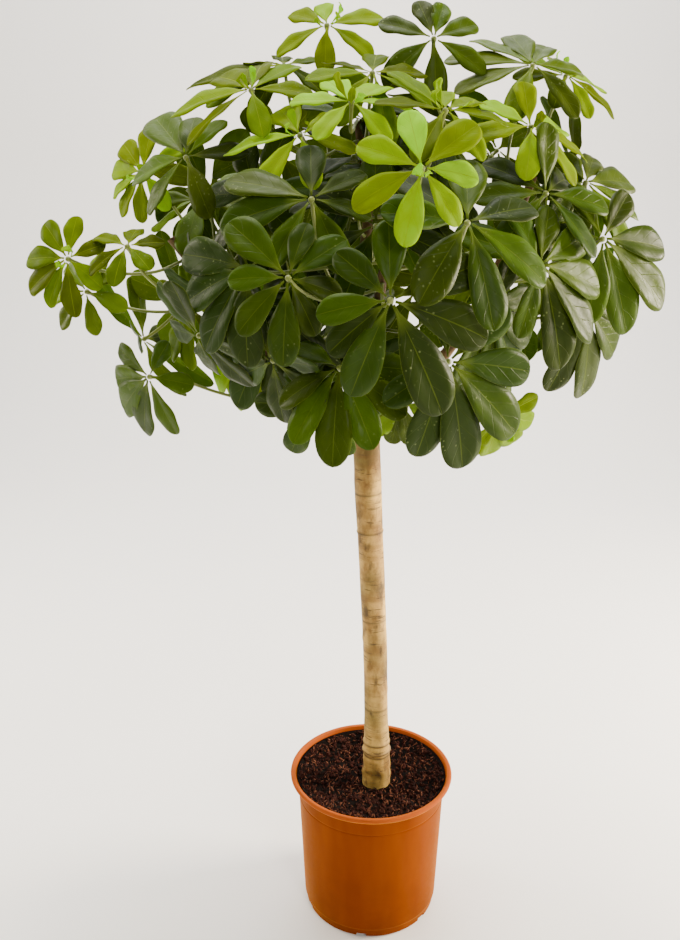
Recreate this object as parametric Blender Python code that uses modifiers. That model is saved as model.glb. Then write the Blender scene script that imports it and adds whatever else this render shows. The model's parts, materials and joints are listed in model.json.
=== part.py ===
"""Umbrella plant on a single bare stem, in a plastic nursery pot.

Metres, +Z up. The origin is the middle of the pot's flat underside.
"""

import math

import bmesh
import bpy
from mathutils import Matrix, Vector
from mathutils.bvhtree import BVHTree

MM = 0.001
GAP = 0.3 * MM                      # left between pieces that touch

# Pot
POT_HEIGHT = 177 * MM
RIM_RADIUS = 95 * MM
LIP_WIDTH = 6.4 * MM                # the lip stands proud of the wall outside and steps back inside
LIP_DEPTH = 4.8 * MM
WALL_TOP_RADIUS = 86 * MM
WALL_FOOT_RADIUS = 79.5 * MM
FOOT_RADIUS = 76 * MM
POT_WALL = 1.6 * MM
POT_FLOOR = 2.4 * MM
FOOT_STEP_HEIGHT = 12 * MM          # where the tapered wall ends in a small step
WALL_TOP_HEIGHT = 168 * MM
BAND_HEIGHT = 149 * MM              # shallow groove below the lip
BAND_DEPTH = 0.5 * MM
POT_SEGMENTS = 32
DRAIN_HOLES = 6
DRAIN_TURN = 0.35                   # of one hole's share of the circle, from +X
DRAIN_WIDTH = 12 * MM
DRAIN_REACH = 7 * MM
DRAIN_HEIGHT = 5 * MM

# Potting mix
SOIL_EDGE = 172.5 * MM
SOIL_EDGE_GAP = 0.9 * MM            # to the pot where the mix rises into the lip
SOIL_MIDDLE = 161 * MM              # the mix lies a little lower round the stem
SOIL_DISH_RADIUS = 40 * MM
SOCKET_DEPTH = 52 * MM

# Stem and branches: points along the middle, and the radius at both ends
STEM_ROUNDNESS = 2                  # bevel resolution: eight sides
BRANCH_ROUNDNESS = 2
STEM_FOOT = (6.5 * MM, 0.0)
STEM_FOOT_RADIUS = 16.5 * MM
STEM = [(0.0065, 0, 0.112), (0.0065, 0, 0.170), (0.0052, 0, 0.250), (0.0025, 0, 0.350),
        (-0.0025, 0, 0.450), (-0.007, 0.002, 0.540), (-0.010, 0.005, 0.620), (-0.013, 0.006, 0.690)]
STEM_RADII = [16.5 * MM, 16.2 * MM, 13.8 * MM, 13.3 * MM, 14.0 * MM, 14.8 * MM, 13.8 * MM, 11.0 * MM]
SCAR_RINGS = [(0.205, 1.6 * MM), (0.216, 1.2 * MM), (0.481, 0.8 * MM)]   # height, how far it stands out

# Each branch: the height where it sits on the stem, the way it leaves (azimuth 0 is -Y, 90 is +X),
# and the points that it then passes. The leader goes on from the stem's cut top.
LEADER = [(-0.015, 0.004, 0.75), (-0.010, 0.0, 0.82), (-0.020, 0.005, 0.90)]
BRANCHES = {
    "branch_left": (0.600, -90, [(-0.080, 0.000, 0.635), (-0.140, 0.005, 0.710), (-0.205, 0.010, 0.790)]),
    "branch_right": (0.618, 88, [(0.050, 0.000, 0.650), (0.105, -0.005, 0.730), (0.150, 0.000, 0.850)]),
    "branch_front": (0.648, 2, [(-0.010, -0.060, 0.675), (-0.005, -0.100, 0.730), (0.005, -0.140, 0.800)]),
    "branch_back": (0.634, 178, [(-0.014, 0.075, 0.665), (-0.010, 0.130, 0.735), (-0.005, 0.170, 0.820)]),
}
BRANCH_START = 9 * MM               # straight out of the stem before the first bend
BRANCH_SEAT_GAP = 0.6 * MM          # to the round stem, whose flats lie a little further in
BRANCH_FOOT_RADIUS = 7.5 * MM
BRANCH_TIP_RADIUS = 4.0 * MM
ROUTE_STEPS = 3                     # smooth points between two given ones

# Compound leaves
LEAFLET_THICKNESS = 0.9 * MM
LEAFLET_WIDTH = 0.42                # of the leaflet's reach, within the two widths below
LEAFLET_WIDTHS = (20 * MM, 40 * MM)
LEAFLET_ROWS = (0.0, 0.44, 0.72, 1.0)       # along a leaflet, from the hub's edge to the tip
ROW_WIDTHS = (0.1, 0.66, 0.95, 0.0)
PLAIN_ROWS = (0.0, 0.58, 1.0)
PLAIN_WIDTHS = (0.1, 1.0, 0.0)
FRONT_LEAVES = -0.11                # hubs in front of this have the full outline
LEAFLET_SAGS = (0.07, 0.19)         # of the reach, how far a tip that points up or down bends down
DROOPS = (2, 20)                    # degrees that such a leaflet leans back from the leaf's face
DROOP_CHANGES = (0, -14, 14, 28, -28)       # tried in this order, until the leaflet is free
CLOCK_CHANGES = (0, 7, -7)
REACH_CHANGES = (1.0, 0.88, 0.76, 0.6)
HUB_RADIUS = 4 * MM
KNOB_RADIUS = 2.3 * MM
BASE_HALF_ANGLE = 13                # degrees of the hub's edge that a leaflet springs from
PETIOLE_RADIUS = 1.5 * MM
CLEARANCE = 1.0 * MM                # kept around a leaflet while the crown fills
SEAT_SPACING = 10 * MM              # between two petiole feet on a branch
PETIOLE_LENGTH = 110 * MM
PETIOLE_STEPS = 4
PETIOLE_BENDS = (0.35, 0.40)        # of the straight distance, at the foot and at the hub
YOUNG = (0.30, 0.42, 0.05, 1)
MATURE = (0.035, 0.09, 0.025, 1)


def fan(count, start, reach):
    """Evenly spaced leaflets: clock angle in degrees from the first, and one reach in mm."""
    return [(start + 360 * i / count, reach) for i in range(count)]


# Every leaf: hub, azimuth and elevation that it looks along (azimuth 0 is -Y, and 90 is +X),
# age from 0 (mature) to 1 (young), and each leaflet's clock angle and reach in mm.
LEAVES = {
    "leaf_front_centre": ((0.002, -0.235, 0.769), 3, 18, 0.05,
        [(0, 65), (65, 80), (105, 85), (150, 95), (205, 75), (235, 60), (265, 58), (315, 58)]),
    "leaf_front_left": ((-0.078, -0.200, 0.781), -5, 25, 0.05,
        [(15, 50), (50, 58), (100, 44), (150, 46), (185, 64), (230, 58), (275, 52), (315, 74)]),
    "leaf_middle_left": ((-0.114, -0.150, 0.782), -25, 20, 0.0,
        [(50, 48), (185, 78), (220, 85), (252, 80), (282, 82), (330, 60)]),
    "leaf_upper_left": ((-0.060, -0.160, 0.839), -5, 42, 0.1,
        [(50, 55), (95, 50), (150, 60), (215, 58), (265, 80), (295, 85), (355, 62)]),
    "leaf_front_right": ((0.052, -0.200, 0.713), 10, 10, 0.05,
        [(50, 72), (95, 80), (130, 95), (165, 95), (195, 82), (240, 60), (355, 52)]),
    "leaf_low_front": ((-0.037, -0.170, 0.701), -10, 40, 0.25,
        [(80, 62), (115, 66), (150, 68), (182, 76), (215, 70), (245, 60), (300, 50)]),
    "leaf_bright_centre": ((0.024, -0.230, 0.866), 0, 32, 0.95,
        [(45, 62), (90, 44), (140, 46), (195, 52), (250, 56), (300, 55), (350, 53)]),
    "leaf_bright_left": ((-0.071, -0.100, 0.888), -20, 58, 0.8,
        [(30, 45), (90, 50), (150, 50), (210, 55), (275, 80), (325, 70)]),
    "leaf_crown_front": ((-0.027, -0.120, 0.914), 10, 66, 0.95,
        [(35, 70), (70, 60), (140, 45), (230, 45), (300, 55), (350, 60)]),
    "leaf_crown_left": ((-0.116, -0.050, 0.926), -20, 64, 0.62,
        [(15, 70), (70, 55), (150, 50), (230, 70), (275, 90), (315, 85), (345, 75)]),
    "leaf_crown_far_left": ((-0.090, 0.020, 0.950), -10, 72, 0.4,
        [(285, 112), (310, 60), (345, 50), (40, 50), (120, 50), (200, 60), (250, 80)]),
    "leaf_crown_top": ((-0.049, 0.020, 0.985), -5, 52, 0.8,
        [(60, 60), (115, 50), (180, 45), (250, 52), (310, 50), (350, 42)]),
    "leaf_crown_right": ((0.143, 0.000, 0.949), 10, 60, 0.3,
        [(0, 75), (30, 62), (75, 60), (140, 60), (210, 60), (265, 75), (300, 85), (330, 80)]),
    "leaf_crown_far_right": ((0.185, 0.050, 0.942), 35, 62, 0.6,
        [(35, 65), (80, 75), (120, 65), (170, 45), (230, 45), (290, 55), (340, 60)]),
    "leaf_shoulder_right": ((0.134, -0.060, 0.895), 35, 60, 0.85,
        [(340, 55), (20, 55), (70, 75), (100, 75), (150, 60), (215, 55), (280, 60)]),
    "leaf_crown_middle": ((0.051, -0.120, 0.908), 15, 64, 0.6,
        [(15, 50), (50, 60), (80, 65), (150, 50), (220, 55), (285, 60), (330, 68)]),
    "leaf_left_tip": ((-0.298, -0.030, 0.775), -20, 25, 0.6,
        [(0, 45), (60, 40), (120, 40), (175, 50), (215, 50), (245, 60), (275, 58), (315, 55)]),
    "leaf_left_low": ((-0.290, 0.000, 0.739), -25, 30, 0.45,
        [(10, 45), (45, 40), (100, 45), (160, 40), (230, 50), (270, 60), (310, 50)]),
    "leaf_left_small": ((-0.236, -0.050, 0.789), -20, 66, 0.5,
        [(55, 35), (120, 35), (180, 40), (235, 42), (290, 45), (345, 40)]),
    "leaf_left_wheel": ((-0.238, 0.060, 0.851), -30, 30, 0.8,
        [(50, 50), (85, 55), (130, 45), (180, 45), (220, 50), (250, 50), (280, 55), (310, 60), (350, 60)]),
    "leaf_left_broad": ((-0.180, -0.030, 0.868), -30, 44, 0.3,
        [(310, 108), (340, 60), (20, 55), (70, 60), (140, 60), (220, 60), (265, 75)]),
    "leaf_left_long": ((-0.179, 0.050, 0.825), -35, 60, 0.3,
        [(280, 108), (250, 80), (315, 60), (10, 60), (80, 60), (160, 70)]),
    "leaf_left_under": ((-0.187, 0.000, 0.720), -40, 15, 0.4,
        [(300, 50), (250, 65), (225, 70), (195, 60), (120, 55), (60, 50), (0, 50)]),
    "leaf_left_hanging": ((-0.227, -0.030, 0.659), -35, 5, 0.2,
        [(295, 60), (262, 70), (238, 80), (210, 75), (165, 60), (90, 50), (30, 45)]),
    "leaf_left_lime": ((-0.140, 0.030, 0.675), -40, 5, 0.6,
        [(235, 85), (208, 80), (265, 60), (160, 60), (110, 60), (320, 60)]),
    "leaf_low_left": ((-0.104, -0.050, 0.705), -20, 0, 0.0,
        [(180, 85), (148, 80), (212, 85), (115, 70), (250, 70), (60, 60)]),
    "leaf_right_front": ((0.134, -0.140, 0.784), 25, 25, 0.15,
        [(25, 60), (65, 72), (100, 80), (130, 90), (160, 88), (200, 58), (300, 80), (345, 58)]),
    "leaf_right_outer": ((0.201, -0.080, 0.799), 18, 25, 0.15,
        [(90, 80), (122, 95), (155, 85), (190, 70), (235, 55), (285, 50), (340, 60), (40, 62)]),
    "leaf_middle_right": ((0.063, -0.200, 0.824), 15, 46, 0.1, fan(7, 15, 78)),
    "leaf_right_upper": ((0.143, -0.100, 0.840), 25, 40, 0.1, fan(8, 10, 66)),
    "leaf_right_shoulder": ((0.196, -0.020, 0.845), 25, 52, 0.3,
        [(75, 80), (110, 68), (40, 60), (0, 50), (150, 65), (205, 50), (270, 50)]),
    "leaf_right_inner": ((0.096, -0.120, 0.743), 30, 5, 0.1,
        [(115, 75), (140, 85), (165, 85), (195, 70), (80, 60), (35, 55), (330, 50)]),
    "leaf_right_low": ((0.200, -0.050, 0.729), 30, 5, 0.1,
        [(125, 80), (160, 95), (90, 65), (195, 80), (50, 60), (0, 50)]),
    "leaf_right_drooping": ((0.125, -0.020, 0.615), 20, -20, 0.6,
        [(110, 60), (140, 70), (165, 72), (192, 68), (70, 50)]),
    "leaf_right_under": ((0.132, 0.050, 0.650), 50, 10, 0.2, fan(7, 10, 70)),
    "leaf_low_small": ((0.022, -0.080, 0.648), 0, 0, 0.4,
        [(165, 50), (190, 48), (215, 45), (120, 40), (250, 40)]),
    "leaf_crown_inner": ((-0.008, -0.050, 0.940), 5, 66, 0.5, fan(7, 10, 60)),
    "leaf_crown_tall": ((0.050, 0.000, 0.972), 10, 36, 0.25,
        [(350, 48), (20, 48), (60, 55), (120, 55), (180, 55), (240, 55), (300, 55)]),
    "leaf_inner_left": ((-0.115, -0.050, 0.835), -30, 30, 0.0, fan(7, 20, 70)),
    "leaf_inner_centre": ((-0.006, -0.130, 0.815), 0, 30, 0.0, fan(7, 0, 70)),
    "leaf_inner_low": ((-0.060, -0.110, 0.650), -10, -5, 0.1, fan(6, 30, 62)),
}

# Side shoots at the back: azimuth and elevation of each, seen from the crown's middle
CROWN_MIDDLE = Vector((-0.025, 0.020, 0.765))
CROWN_RADII = Vector((0.265, 0.235, 0.175))
SHOOTS = [(118, -18), (152, -12), (188, -20), (222, -12), (248, -22),
          (108, 22), (140, 28), (175, 20), (212, 28), (254, 30), (170, 58)]
SHOOT_LEAF_OFFSETS = [(-9, 9), (9, -8)]   # degrees of azimuth and elevation to its two leaves
SHOOT_LEAFLETS = 6
SHOOT_REACH = 84
FEWEST_LEAFLETS = 3
SHOOT_LENGTH = 70 * MM                    # from a shoot's tip back to its foot
SHOOT_RADIUS = 2.4 * MM


# ---------------------------------------------------------------- helpers

def clear_scene():
    for item in list(bpy.data.objects):
        bpy.data.objects.remove(item)


def make_collection(name):
    group = bpy.data.collections.new(name)
    bpy.context.scene.collection.children.link(group)
    return group


def make_material(name, colour, roughness):
    material = bpy.data.materials.new(name)
    material.use_nodes = True
    shader = material.node_tree.nodes["Principled BSDF"]
    shader.inputs["Base Color"].default_value = colour
    shader.inputs["Roughness"].default_value = roughness
    shader.inputs["Metallic"].default_value = 0.0
    return material


def mix(a, b, t):
    return tuple(p + (q - p) * t for p, q in zip(a, b))


def add_object(name, mesh, group, material=None):
    item = bpy.data.objects.new(name, mesh)
    group.objects.link(item)
    if material:
        mesh.materials.append(material)
    return item


def mark_as_tool(item):
    item.hide_render = True
    item.display_type = "WIRE"


def smooth_path(points, steps):
    """Points along a smooth curve (Catmull-Rom) through the given ones."""
    points = [Vector(p) for p in points]
    ends = [points[0] * 2 - points[1]] + points + [points[-1] * 2 - points[-2]]
    path = []
    for a, b, c, d in zip(ends, ends[1:], ends[2:], ends[3:]):
        for i in range(steps):
            t = i / steps
            path.append(0.5 * (2 * b + (c - a) * t + (2 * a - 5 * b + 4 * c - d) * t * t
                               + (3 * b - 3 * c + d - a) * t ** 3))
    return path + [points[-1]]


def tube_mesh(name, tubes, resolution):
    """One mesh of closed round tubes; each tube is a list of points and a list of radii."""
    curve = bpy.data.curves.new(name, "CURVE")
    curve.dimensions = "3D"
    curve.bevel_depth = 1.0
    curve.bevel_resolution = resolution
    curve.use_fill_caps = True
    for points, radii in tubes:
        spline = curve.splines.new("POLY")
        spline.points.add(len(points) - 1)
        for knot, point, radius in zip(spline.points, points, radii):
            knot.co = (*point, 1)
            knot.radius = radius
    holder = bpy.data.objects.new(name, curve)
    bpy.context.scene.collection.objects.link(holder)
    graph = bpy.context.evaluated_depsgraph_get()
    mesh = bpy.data.meshes.new_from_object(holder.evaluated_get(graph))
    bpy.data.objects.remove(holder)
    bpy.data.curves.remove(curve)
    work = bmesh.new()
    work.from_mesh(mesh)
    bmesh.ops.remove_doubles(work, verts=work.verts, dist=0.00001)
    bmesh.ops.recalc_face_normals(work, faces=work.faces)
    work.to_mesh(mesh)
    work.free()
    mesh.name = name
    return mesh


def shade(item):
    item.data.shade_smooth()
    item.data.set_sharp_from_angle(angle=math.radians(35))


# ---------------------------------------------------------------- pot and soil

def turned(name, profile, group, material):
    """A profile of (radius, height) points turned about Z."""
    mesh = bpy.data.meshes.new(name)
    mesh.from_pydata([(r, 0, z) for r, z in profile], [(i, i + 1) for i in range(len(profile) - 1)], [])
    item = add_object(name, mesh, group, material)
    screw = item.modifiers.new("Turn", "SCREW")
    screw.steps = POT_SEGMENTS
    screw.render_steps = POT_SEGMENTS
    screw.use_merge_vertices = True
    screw.merge_threshold = 0.00001
    return item


def wall_radius(z):
    """Outside radius of the pot's tapered wall."""
    share = (z - FOOT_STEP_HEIGHT) / (WALL_TOP_HEIGHT - FOOT_STEP_HEIGHT)
    return WALL_FOOT_RADIUS + (WALL_TOP_RADIUS - WALL_FOOT_RADIUS) * share


def make_pot(group, tools, material):
    lip = POT_HEIGHT
    profile = [
        (RIM_RADIUS - LIP_WIDTH, lip - LIP_DEPTH),
        (RIM_RADIUS - 5.6 * MM, lip - 0.6 * MM),
        (RIM_RADIUS - 3 * MM, lip),
        (RIM_RADIUS - 0.7 * MM, lip - 1.4 * MM),
        (RIM_RADIUS, lip - 3.6 * MM),
        (RIM_RADIUS - 0.8 * MM, lip - 6.2 * MM),
        (RIM_RADIUS - 3 * MM, lip - 7 * MM),
        (WALL_TOP_RADIUS, WALL_TOP_HEIGHT),
        (wall_radius(BAND_HEIGHT + 1.5 * MM), BAND_HEIGHT + 1.5 * MM),
        (wall_radius(BAND_HEIGHT) - BAND_DEPTH, BAND_HEIGHT),
        (wall_radius(BAND_HEIGHT - 1.5 * MM), BAND_HEIGHT - 1.5 * MM),
        (WALL_FOOT_RADIUS, FOOT_STEP_HEIGHT),
        (WALL_FOOT_RADIUS - 1.2 * MM, 10.5 * MM),
        (FOOT_RADIUS + 1.4 * MM, 3 * MM),
        (FOOT_RADIUS - 1 * MM, 0),
        (0, 0),
        (0, POT_FLOOR),
        (FOOT_RADIUS - 2 * MM, POT_FLOOR),
        (FOOT_RADIUS + 0.2 * MM, 4.5 * MM),
        (WALL_FOOT_RADIUS - POT_WALL - 1 * MM, FOOT_STEP_HEIGHT),
        (wall_radius(BAND_HEIGHT) - BAND_DEPTH - POT_WALL, BAND_HEIGHT),
        (WALL_TOP_RADIUS - POT_WALL, lip - 8.5 * MM),
        (RIM_RADIUS - LIP_WIDTH, lip - LIP_DEPTH),
    ]
    pot = turned("pot", profile, group, material)
    cutters = bmesh.new()
    for i in range(DRAIN_HOLES):
        angle = 2 * math.pi * (i + DRAIN_TURN) / DRAIN_HOLES
        cube = bmesh.ops.create_cube(cutters, size=1.0)["verts"]
        bmesh.ops.scale(cutters, verts=cube, vec=(DRAIN_REACH * 2, DRAIN_WIDTH, DRAIN_HEIGHT * 2))
        bmesh.ops.translate(cutters, verts=cube, vec=(FOOT_RADIUS + 2 * MM, 0, 0))
        bmesh.ops.rotate(cutters, verts=cube, cent=(0, 0, 0), matrix=Matrix.Rotation(angle, 3, "Z"))
    mesh = bpy.data.meshes.new("drain_hole_cutter")
    cutters.to_mesh(mesh)
    cutters.free()
    cutter = add_object("drain_hole_cutter", mesh, tools)
    mark_as_tool(cutter)
    cut = pot.modifiers.new("Drain holes", "BOOLEAN")
    cut.operation = "DIFFERENCE"
    cut.solver = "EXACT"
    cut.object = cutter
    return pot


def make_soil(group, tools, material):
    inner = POT_WALL + GAP * 2
    profile = [
        (0, SOIL_MIDDLE),
        (SOIL_DISH_RADIUS, SOIL_MIDDLE),
        (RIM_RADIUS - LIP_WIDTH - SOIL_EDGE_GAP, SOIL_EDGE),
        (WALL_TOP_RADIUS - POT_WALL - SOIL_EDGE_GAP, WALL_TOP_HEIGHT + GAP),
        (wall_radius(30 * MM) - inner - 1.6 * MM, 30 * MM),
        (FOOT_RADIUS - 6 * MM, POT_FLOOR + 6 * MM),
        (FOOT_RADIUS - 11 * MM, POT_FLOOR + GAP),
        (0, POT_FLOOR + GAP),
    ]
    soil = turned("soil", profile, group, material)
    work = bmesh.new()
    bmesh.ops.create_cone(work, cap_ends=True, segments=32, depth=SOCKET_DEPTH * 2,
                          radius1=STEM_FOOT_RADIUS + 2 * GAP, radius2=STEM_FOOT_RADIUS + 2 * GAP)
    bmesh.ops.translate(work, verts=work.verts, vec=(*STEM_FOOT, SOIL_MIDDLE))
    mesh = bpy.data.meshes.new("stem_socket_cutter")
    work.to_mesh(mesh)
    work.free()
    cutter = add_object("stem_socket_cutter", mesh, tools)
    mark_as_tool(cutter)
    cut = soil.modifiers.new("Stem socket", "BOOLEAN")
    cut.operation = "DIFFERENCE"
    cut.solver = "EXACT"
    cut.object = cutter
    return soil


# ---------------------------------------------------------------- stem and branches

def stem_route():
    """Smooth points up the stem, with a ring of extra points at each leaf scar."""
    path = smooth_path(STEM, ROUTE_STEPS)
    radii = []
    for i in range(len(path)):
        step = i / ROUTE_STEPS
        low = min(int(step), len(STEM_RADII) - 2)
        radii.append(STEM_RADII[low] + (STEM_RADII[low + 1] - STEM_RADII[low]) * (step - low))
    points = list(zip(path, radii))
    for height, proud in SCAR_RINGS:
        below = max(i for i, (p, r) in enumerate(points) if p.z < height)
        a, b = points[below], points[below + 1]
        ring = []
        for offset, out in ((-2.5 * MM, 0), (0, proud), (2.5 * MM, 0)):
            t = (height + offset - a[0].z) / (b[0].z - a[0].z)
            ring.append((a[0].lerp(b[0], t), a[1] + (b[1] - a[1]) * t + out))
        points = [p for p in points if abs(p[0].z - height) > 3.5 * MM] + ring
        points.sort(key=lambda p: p[0].z)
    return [p for p, r in points], [r for p, r in points]


def branch_route(start, outward, points):
    """Straight out of the seat for a few millimetres, then smoothly through the points."""
    path = [start] + smooth_path([start + outward * BRANCH_START] + points, ROUTE_STEPS)
    taper = (BRANCH_TIP_RADIUS - BRANCH_FOOT_RADIUS) / (len(path) - 1)
    return path, [BRANCH_FOOT_RADIUS + taper * i for i in range(len(path))]


def branch_routes(stem_path, stem_radii):
    """Every branch's name, points and radii, seated square on the stem."""
    ahead = (stem_path[-1] - stem_path[-2]).normalized()
    start = stem_path[-1] + ahead * GAP
    yield "branch_leader", *branch_route(start, ahead, LEADER)
    for name, (height, azimuth, points) in BRANCHES.items():
        i = max(k for k, p in enumerate(stem_path[:-1]) if p.z < height)
        ahead = (stem_path[i + 1] - stem_path[i]).normalized()
        middle = stem_path[i] + ahead * ((height - stem_path[i].z) / ahead.z)
        outward = looks_along(azimuth, 0)[0]
        outward = (outward - ahead * outward.dot(ahead)).normalized()
        start = middle + outward * (stem_radii[i] + BRANCH_SEAT_GAP)
        yield name, *branch_route(start, outward, points)


# ---------------------------------------------------------------- growing the crown

def looks_along(azimuth, elevation):
    """The way a leaf faces, its upward clock hand and its right hand."""
    a, e = math.radians(azimuth), math.radians(elevation)
    face = Vector((math.sin(a) * math.cos(e), -math.cos(a) * math.cos(e), math.sin(e)))
    up = Vector((-math.sin(a) * math.sin(e), math.cos(a) * math.sin(e), math.cos(e)))
    return face, up, up.cross(face)


def box_of(points, margin):
    low = Vector([min(p[k] for p in points) - margin for k in range(3)])
    high = Vector([max(p[k] for p in points) + margin for k in range(3)])
    return low, high


class Grown:
    """Everything placed so far, as surfaces that a new piece may not cross."""

    def __init__(self):
        self.surfaces = []

    def add(self, points, faces):
        self.surfaces.append((box_of(points, 0), BVHTree.FromPolygons(points, faces)))

    def is_free(self, points, faces):
        low, high = box_of(points, 0)
        tree = BVHTree.FromPolygons(points, faces)
        for (other_low, other_high), other in self.surfaces:
            apart = any(low[k] > other_high[k] or high[k] < other_low[k] for k in range(3))
            if not apart and tree.overlap(other):
                return False
        return True


def tube_guard(path, radii, sides=6):
    """A plain tube a little fatter than the real one, for the crossing test."""
    points, faces = [], []
    for i, (point, radius) in enumerate(zip(path, radii)):
        ahead = (path[min(i + 1, len(path) - 1)] - path[max(i - 1, 0)]).normalized()
        side = ahead.orthogonal().normalized()
        other = ahead.cross(side)
        for k in range(sides):
            turn = 2 * math.pi * k / sides
            points.append(point + (side * math.cos(turn) + other * math.sin(turn)) * (radius + CLEARANCE))
        if i:
            base = (i - 1) * sides
            for k in range(sides):
                n = (k + 1) % sides
                faces.append((base + k, base + n, base + sides + n, base + sides + k))
    return points, faces


def stalk_guard(path, radius):
    """A petiole's guard, widened at its end to hold the hub."""
    return tube_guard(path, [radius] * (len(path) - 1) + [HUB_RADIUS])


def between(pair, clock):
    """From the pair's first value for a leaflet that points up to its second for one that hangs."""
    return pair[0] + (pair[1] - pair[0]) * (1 - math.cos(math.radians(clock))) / 2


def leaflet_rows(hub, looks, clock, reach, droop, shape):
    """Left and right edge points of a leaflet's rows, from the hub's edge to the tip, and its normal."""
    face, up, right = looks
    turn = math.radians(clock)
    out = up * math.cos(turn) + right * math.sin(turn)
    side = face.cross(out)
    tilt = math.radians(droop)
    width = min(max(LEAFLET_WIDTH * reach, LEAFLET_WIDTHS[0]), LEAFLET_WIDTHS[1])
    sag = between(LEAFLET_SAGS, clock) * reach
    rows = []
    for along, wide in zip(*shape):
        distance = HUB_RADIUS + (reach - HUB_RADIUS) * along
        drop = sag * along * along
        middle = hub + out * distance * math.cos(tilt * along) - face * (
            (distance - HUB_RADIUS) * math.sin(tilt) + drop * 0.5)
        middle.z -= drop * 0.5
        rows.append((middle + side * width * wide * 0.5, middle - side * width * wide * 0.5))
    normal = (face * math.cos(tilt) + out * math.sin(tilt)).normalized()
    return rows, normal, clock


def leaflet_guard(leaflet):
    """A leaflet as a flat slab, thick enough to keep its neighbours clear."""
    rows, normal = leaflet[:2]
    points, faces = [], []
    for lift in (CLEARANCE, -CLEARANCE):
        for left, right in rows:
            points += [left + normal * lift, right + normal * lift]
    count = len(rows)
    for layer in (0, count * 2):
        for i in range(count - 1):
            a = layer + 2 * i
            faces.append((a, a + 1, a + 3, a + 2))
    for i in range(count - 1):
        for edge in (0, 1):
            a = 2 * i + edge
            faces.append((a, a + 2, a + 2 + count * 2, a + count * 2))
    return points, faces


def petiole_route(foot, outward, hub, face):
    """From square off the branch to straight into the back of the hub."""
    span = (hub - foot).length
    bend_a = foot + outward * span * PETIOLE_BENDS[0]
    bend_b = hub - face * span * PETIOLE_BENDS[1]
    path = [foot, foot + outward * 3 * MM]
    for i in range(1, PETIOLE_STEPS + 1):
        t = i / PETIOLE_STEPS
        path.append(foot * (1 - t) ** 3 + bend_a * 3 * t * (1 - t) ** 2
                    + bend_b * 3 * t * t * (1 - t) + hub * t ** 3)
    return path


def with_knob(path):
    """A petiole's points and radii, with the knob that stands through the hub."""
    ahead = (path[-1] - path[-2]).normalized()
    radii = [PETIOLE_RADIUS * 1.25] + [PETIOLE_RADIUS] * (len(path) - 1)
    return (path[:-1] + [path[-1] - ahead * KNOB_RADIUS, path[-1] + ahead * KNOB_RADIUS * 0.5],
            radii[:-1] + [PETIOLE_RADIUS, KNOB_RADIUS])


def grow_leaflets(grown, leaf, shape):
    """Each leaflet takes the first droop and reach at which it crosses nothing."""
    hub, azimuth, elevation, age, spokes = leaf
    looks = looks_along(azimuth, elevation)
    placed = []
    for clock, reach in spokes:
        for shorter in REACH_CHANGES:
            options = [leaflet_rows(hub, looks, clock + turn, reach * shorter * MM,
                                    between(DROOPS, clock) + tilt, shape)
                       for turn in CLOCK_CHANGES for tilt in DROOP_CHANGES]
            free = next((o for o in options if grown.is_free(*leaflet_guard(o))), None)
            if free:
                placed.append(free)
                break
    return sorted(placed, key=lambda leaflet: leaflet[2])


def find_seat(grown, seats, hub, face, length):
    """The free place on a branch nearest a good stalk's length from the hub."""
    def how_far_off(seat):
        return abs((seat[0] - hub).length - length) + max(0, seat[0].z - hub.z) * 3
    for point, ahead, radius in sorted(seats, key=how_far_off):
        outward = (hub - point) - ahead * (hub - point).dot(ahead)
        if outward.length < 1 * MM:
            continue
        outward.normalize()
        foot = point + outward * (radius + GAP)
        path = petiole_route(foot, outward, hub, face)
        if grown.is_free(*stalk_guard(path[1:], PETIOLE_RADIUS)):
            seats[:] = [s for s in seats if (s[0] - point).length > SEAT_SPACING]
            return path
    return None


def add_leaf_sheet(work, hub, looks, leaflets):
    """A flat hub, with a strip drawn out of its edge for each leaflet."""
    face, up, right = looks
    ring = bmesh.ops.create_circle(work, cap_ends=True, segments=2 * len(leaflets), radius=1)["verts"]
    count = len(leaflets)
    for i, (rows, normal, clock) in enumerate(leaflets):
        before = (clock - leaflets[i - 1][2]) % 360 or 360
        after = (leaflets[(i + 1) % count][2] - clock) % 360 or 360
        for k, room, sign in ((0, before, -1), (1, after, 1)):
            turn = math.radians(clock + sign * min(BASE_HALF_ANGLE, room * 0.48))
            ring[2 * i + k].co = hub + (up * math.cos(turn) + right * math.sin(turn)) * HUB_RADIUS
    for i, (rows, normal, clock) in enumerate(leaflets):
        pair = [ring[2 * i], ring[2 * i + 1]]
        for ends in rows[1:]:
            edge = work.edges.get(pair)
            drawn = bmesh.ops.extrude_edge_only(work, edges=[edge])["geom"]
            new = [v for v in drawn if isinstance(v, bmesh.types.BMVert)]
            new.sort(key=lambda v: (v.co - pair[0].co).length)
            for vert, place in zip(new, ends):
                vert.co = place
            pair = new
        bmesh.ops.pointmerge(work, verts=pair, merge_co=rows[-1][0])


def leaf_object(name, sheets, group, material):
    """The leaflets of one leaf, or of one shoot's leaves, with their thickness."""
    work = bmesh.new()
    for hub, looks, leaflets in sheets:
        add_leaf_sheet(work, hub, looks, leaflets)
    mesh = bpy.data.meshes.new(name)
    work.to_mesh(mesh)
    work.free()
    item = add_object(name, mesh, group, material)
    thick = item.modifiers.new("Thickness", "SOLIDIFY")
    thick.thickness = LEAFLET_THICKNESS
    thick.offset = 0
    return item


def join_to_stalk(item, tubes, tools):
    stalk = add_object(item.name + "_stalk", tube_mesh(item.name + "_stalk", tubes, 0), tools)
    mark_as_tool(stalk)
    union = item.modifiers.new("Stalk", "BOOLEAN")
    union.operation = "UNION"
    union.solver = "EXACT"
    union.use_self = True
    union.object = stalk


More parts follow.
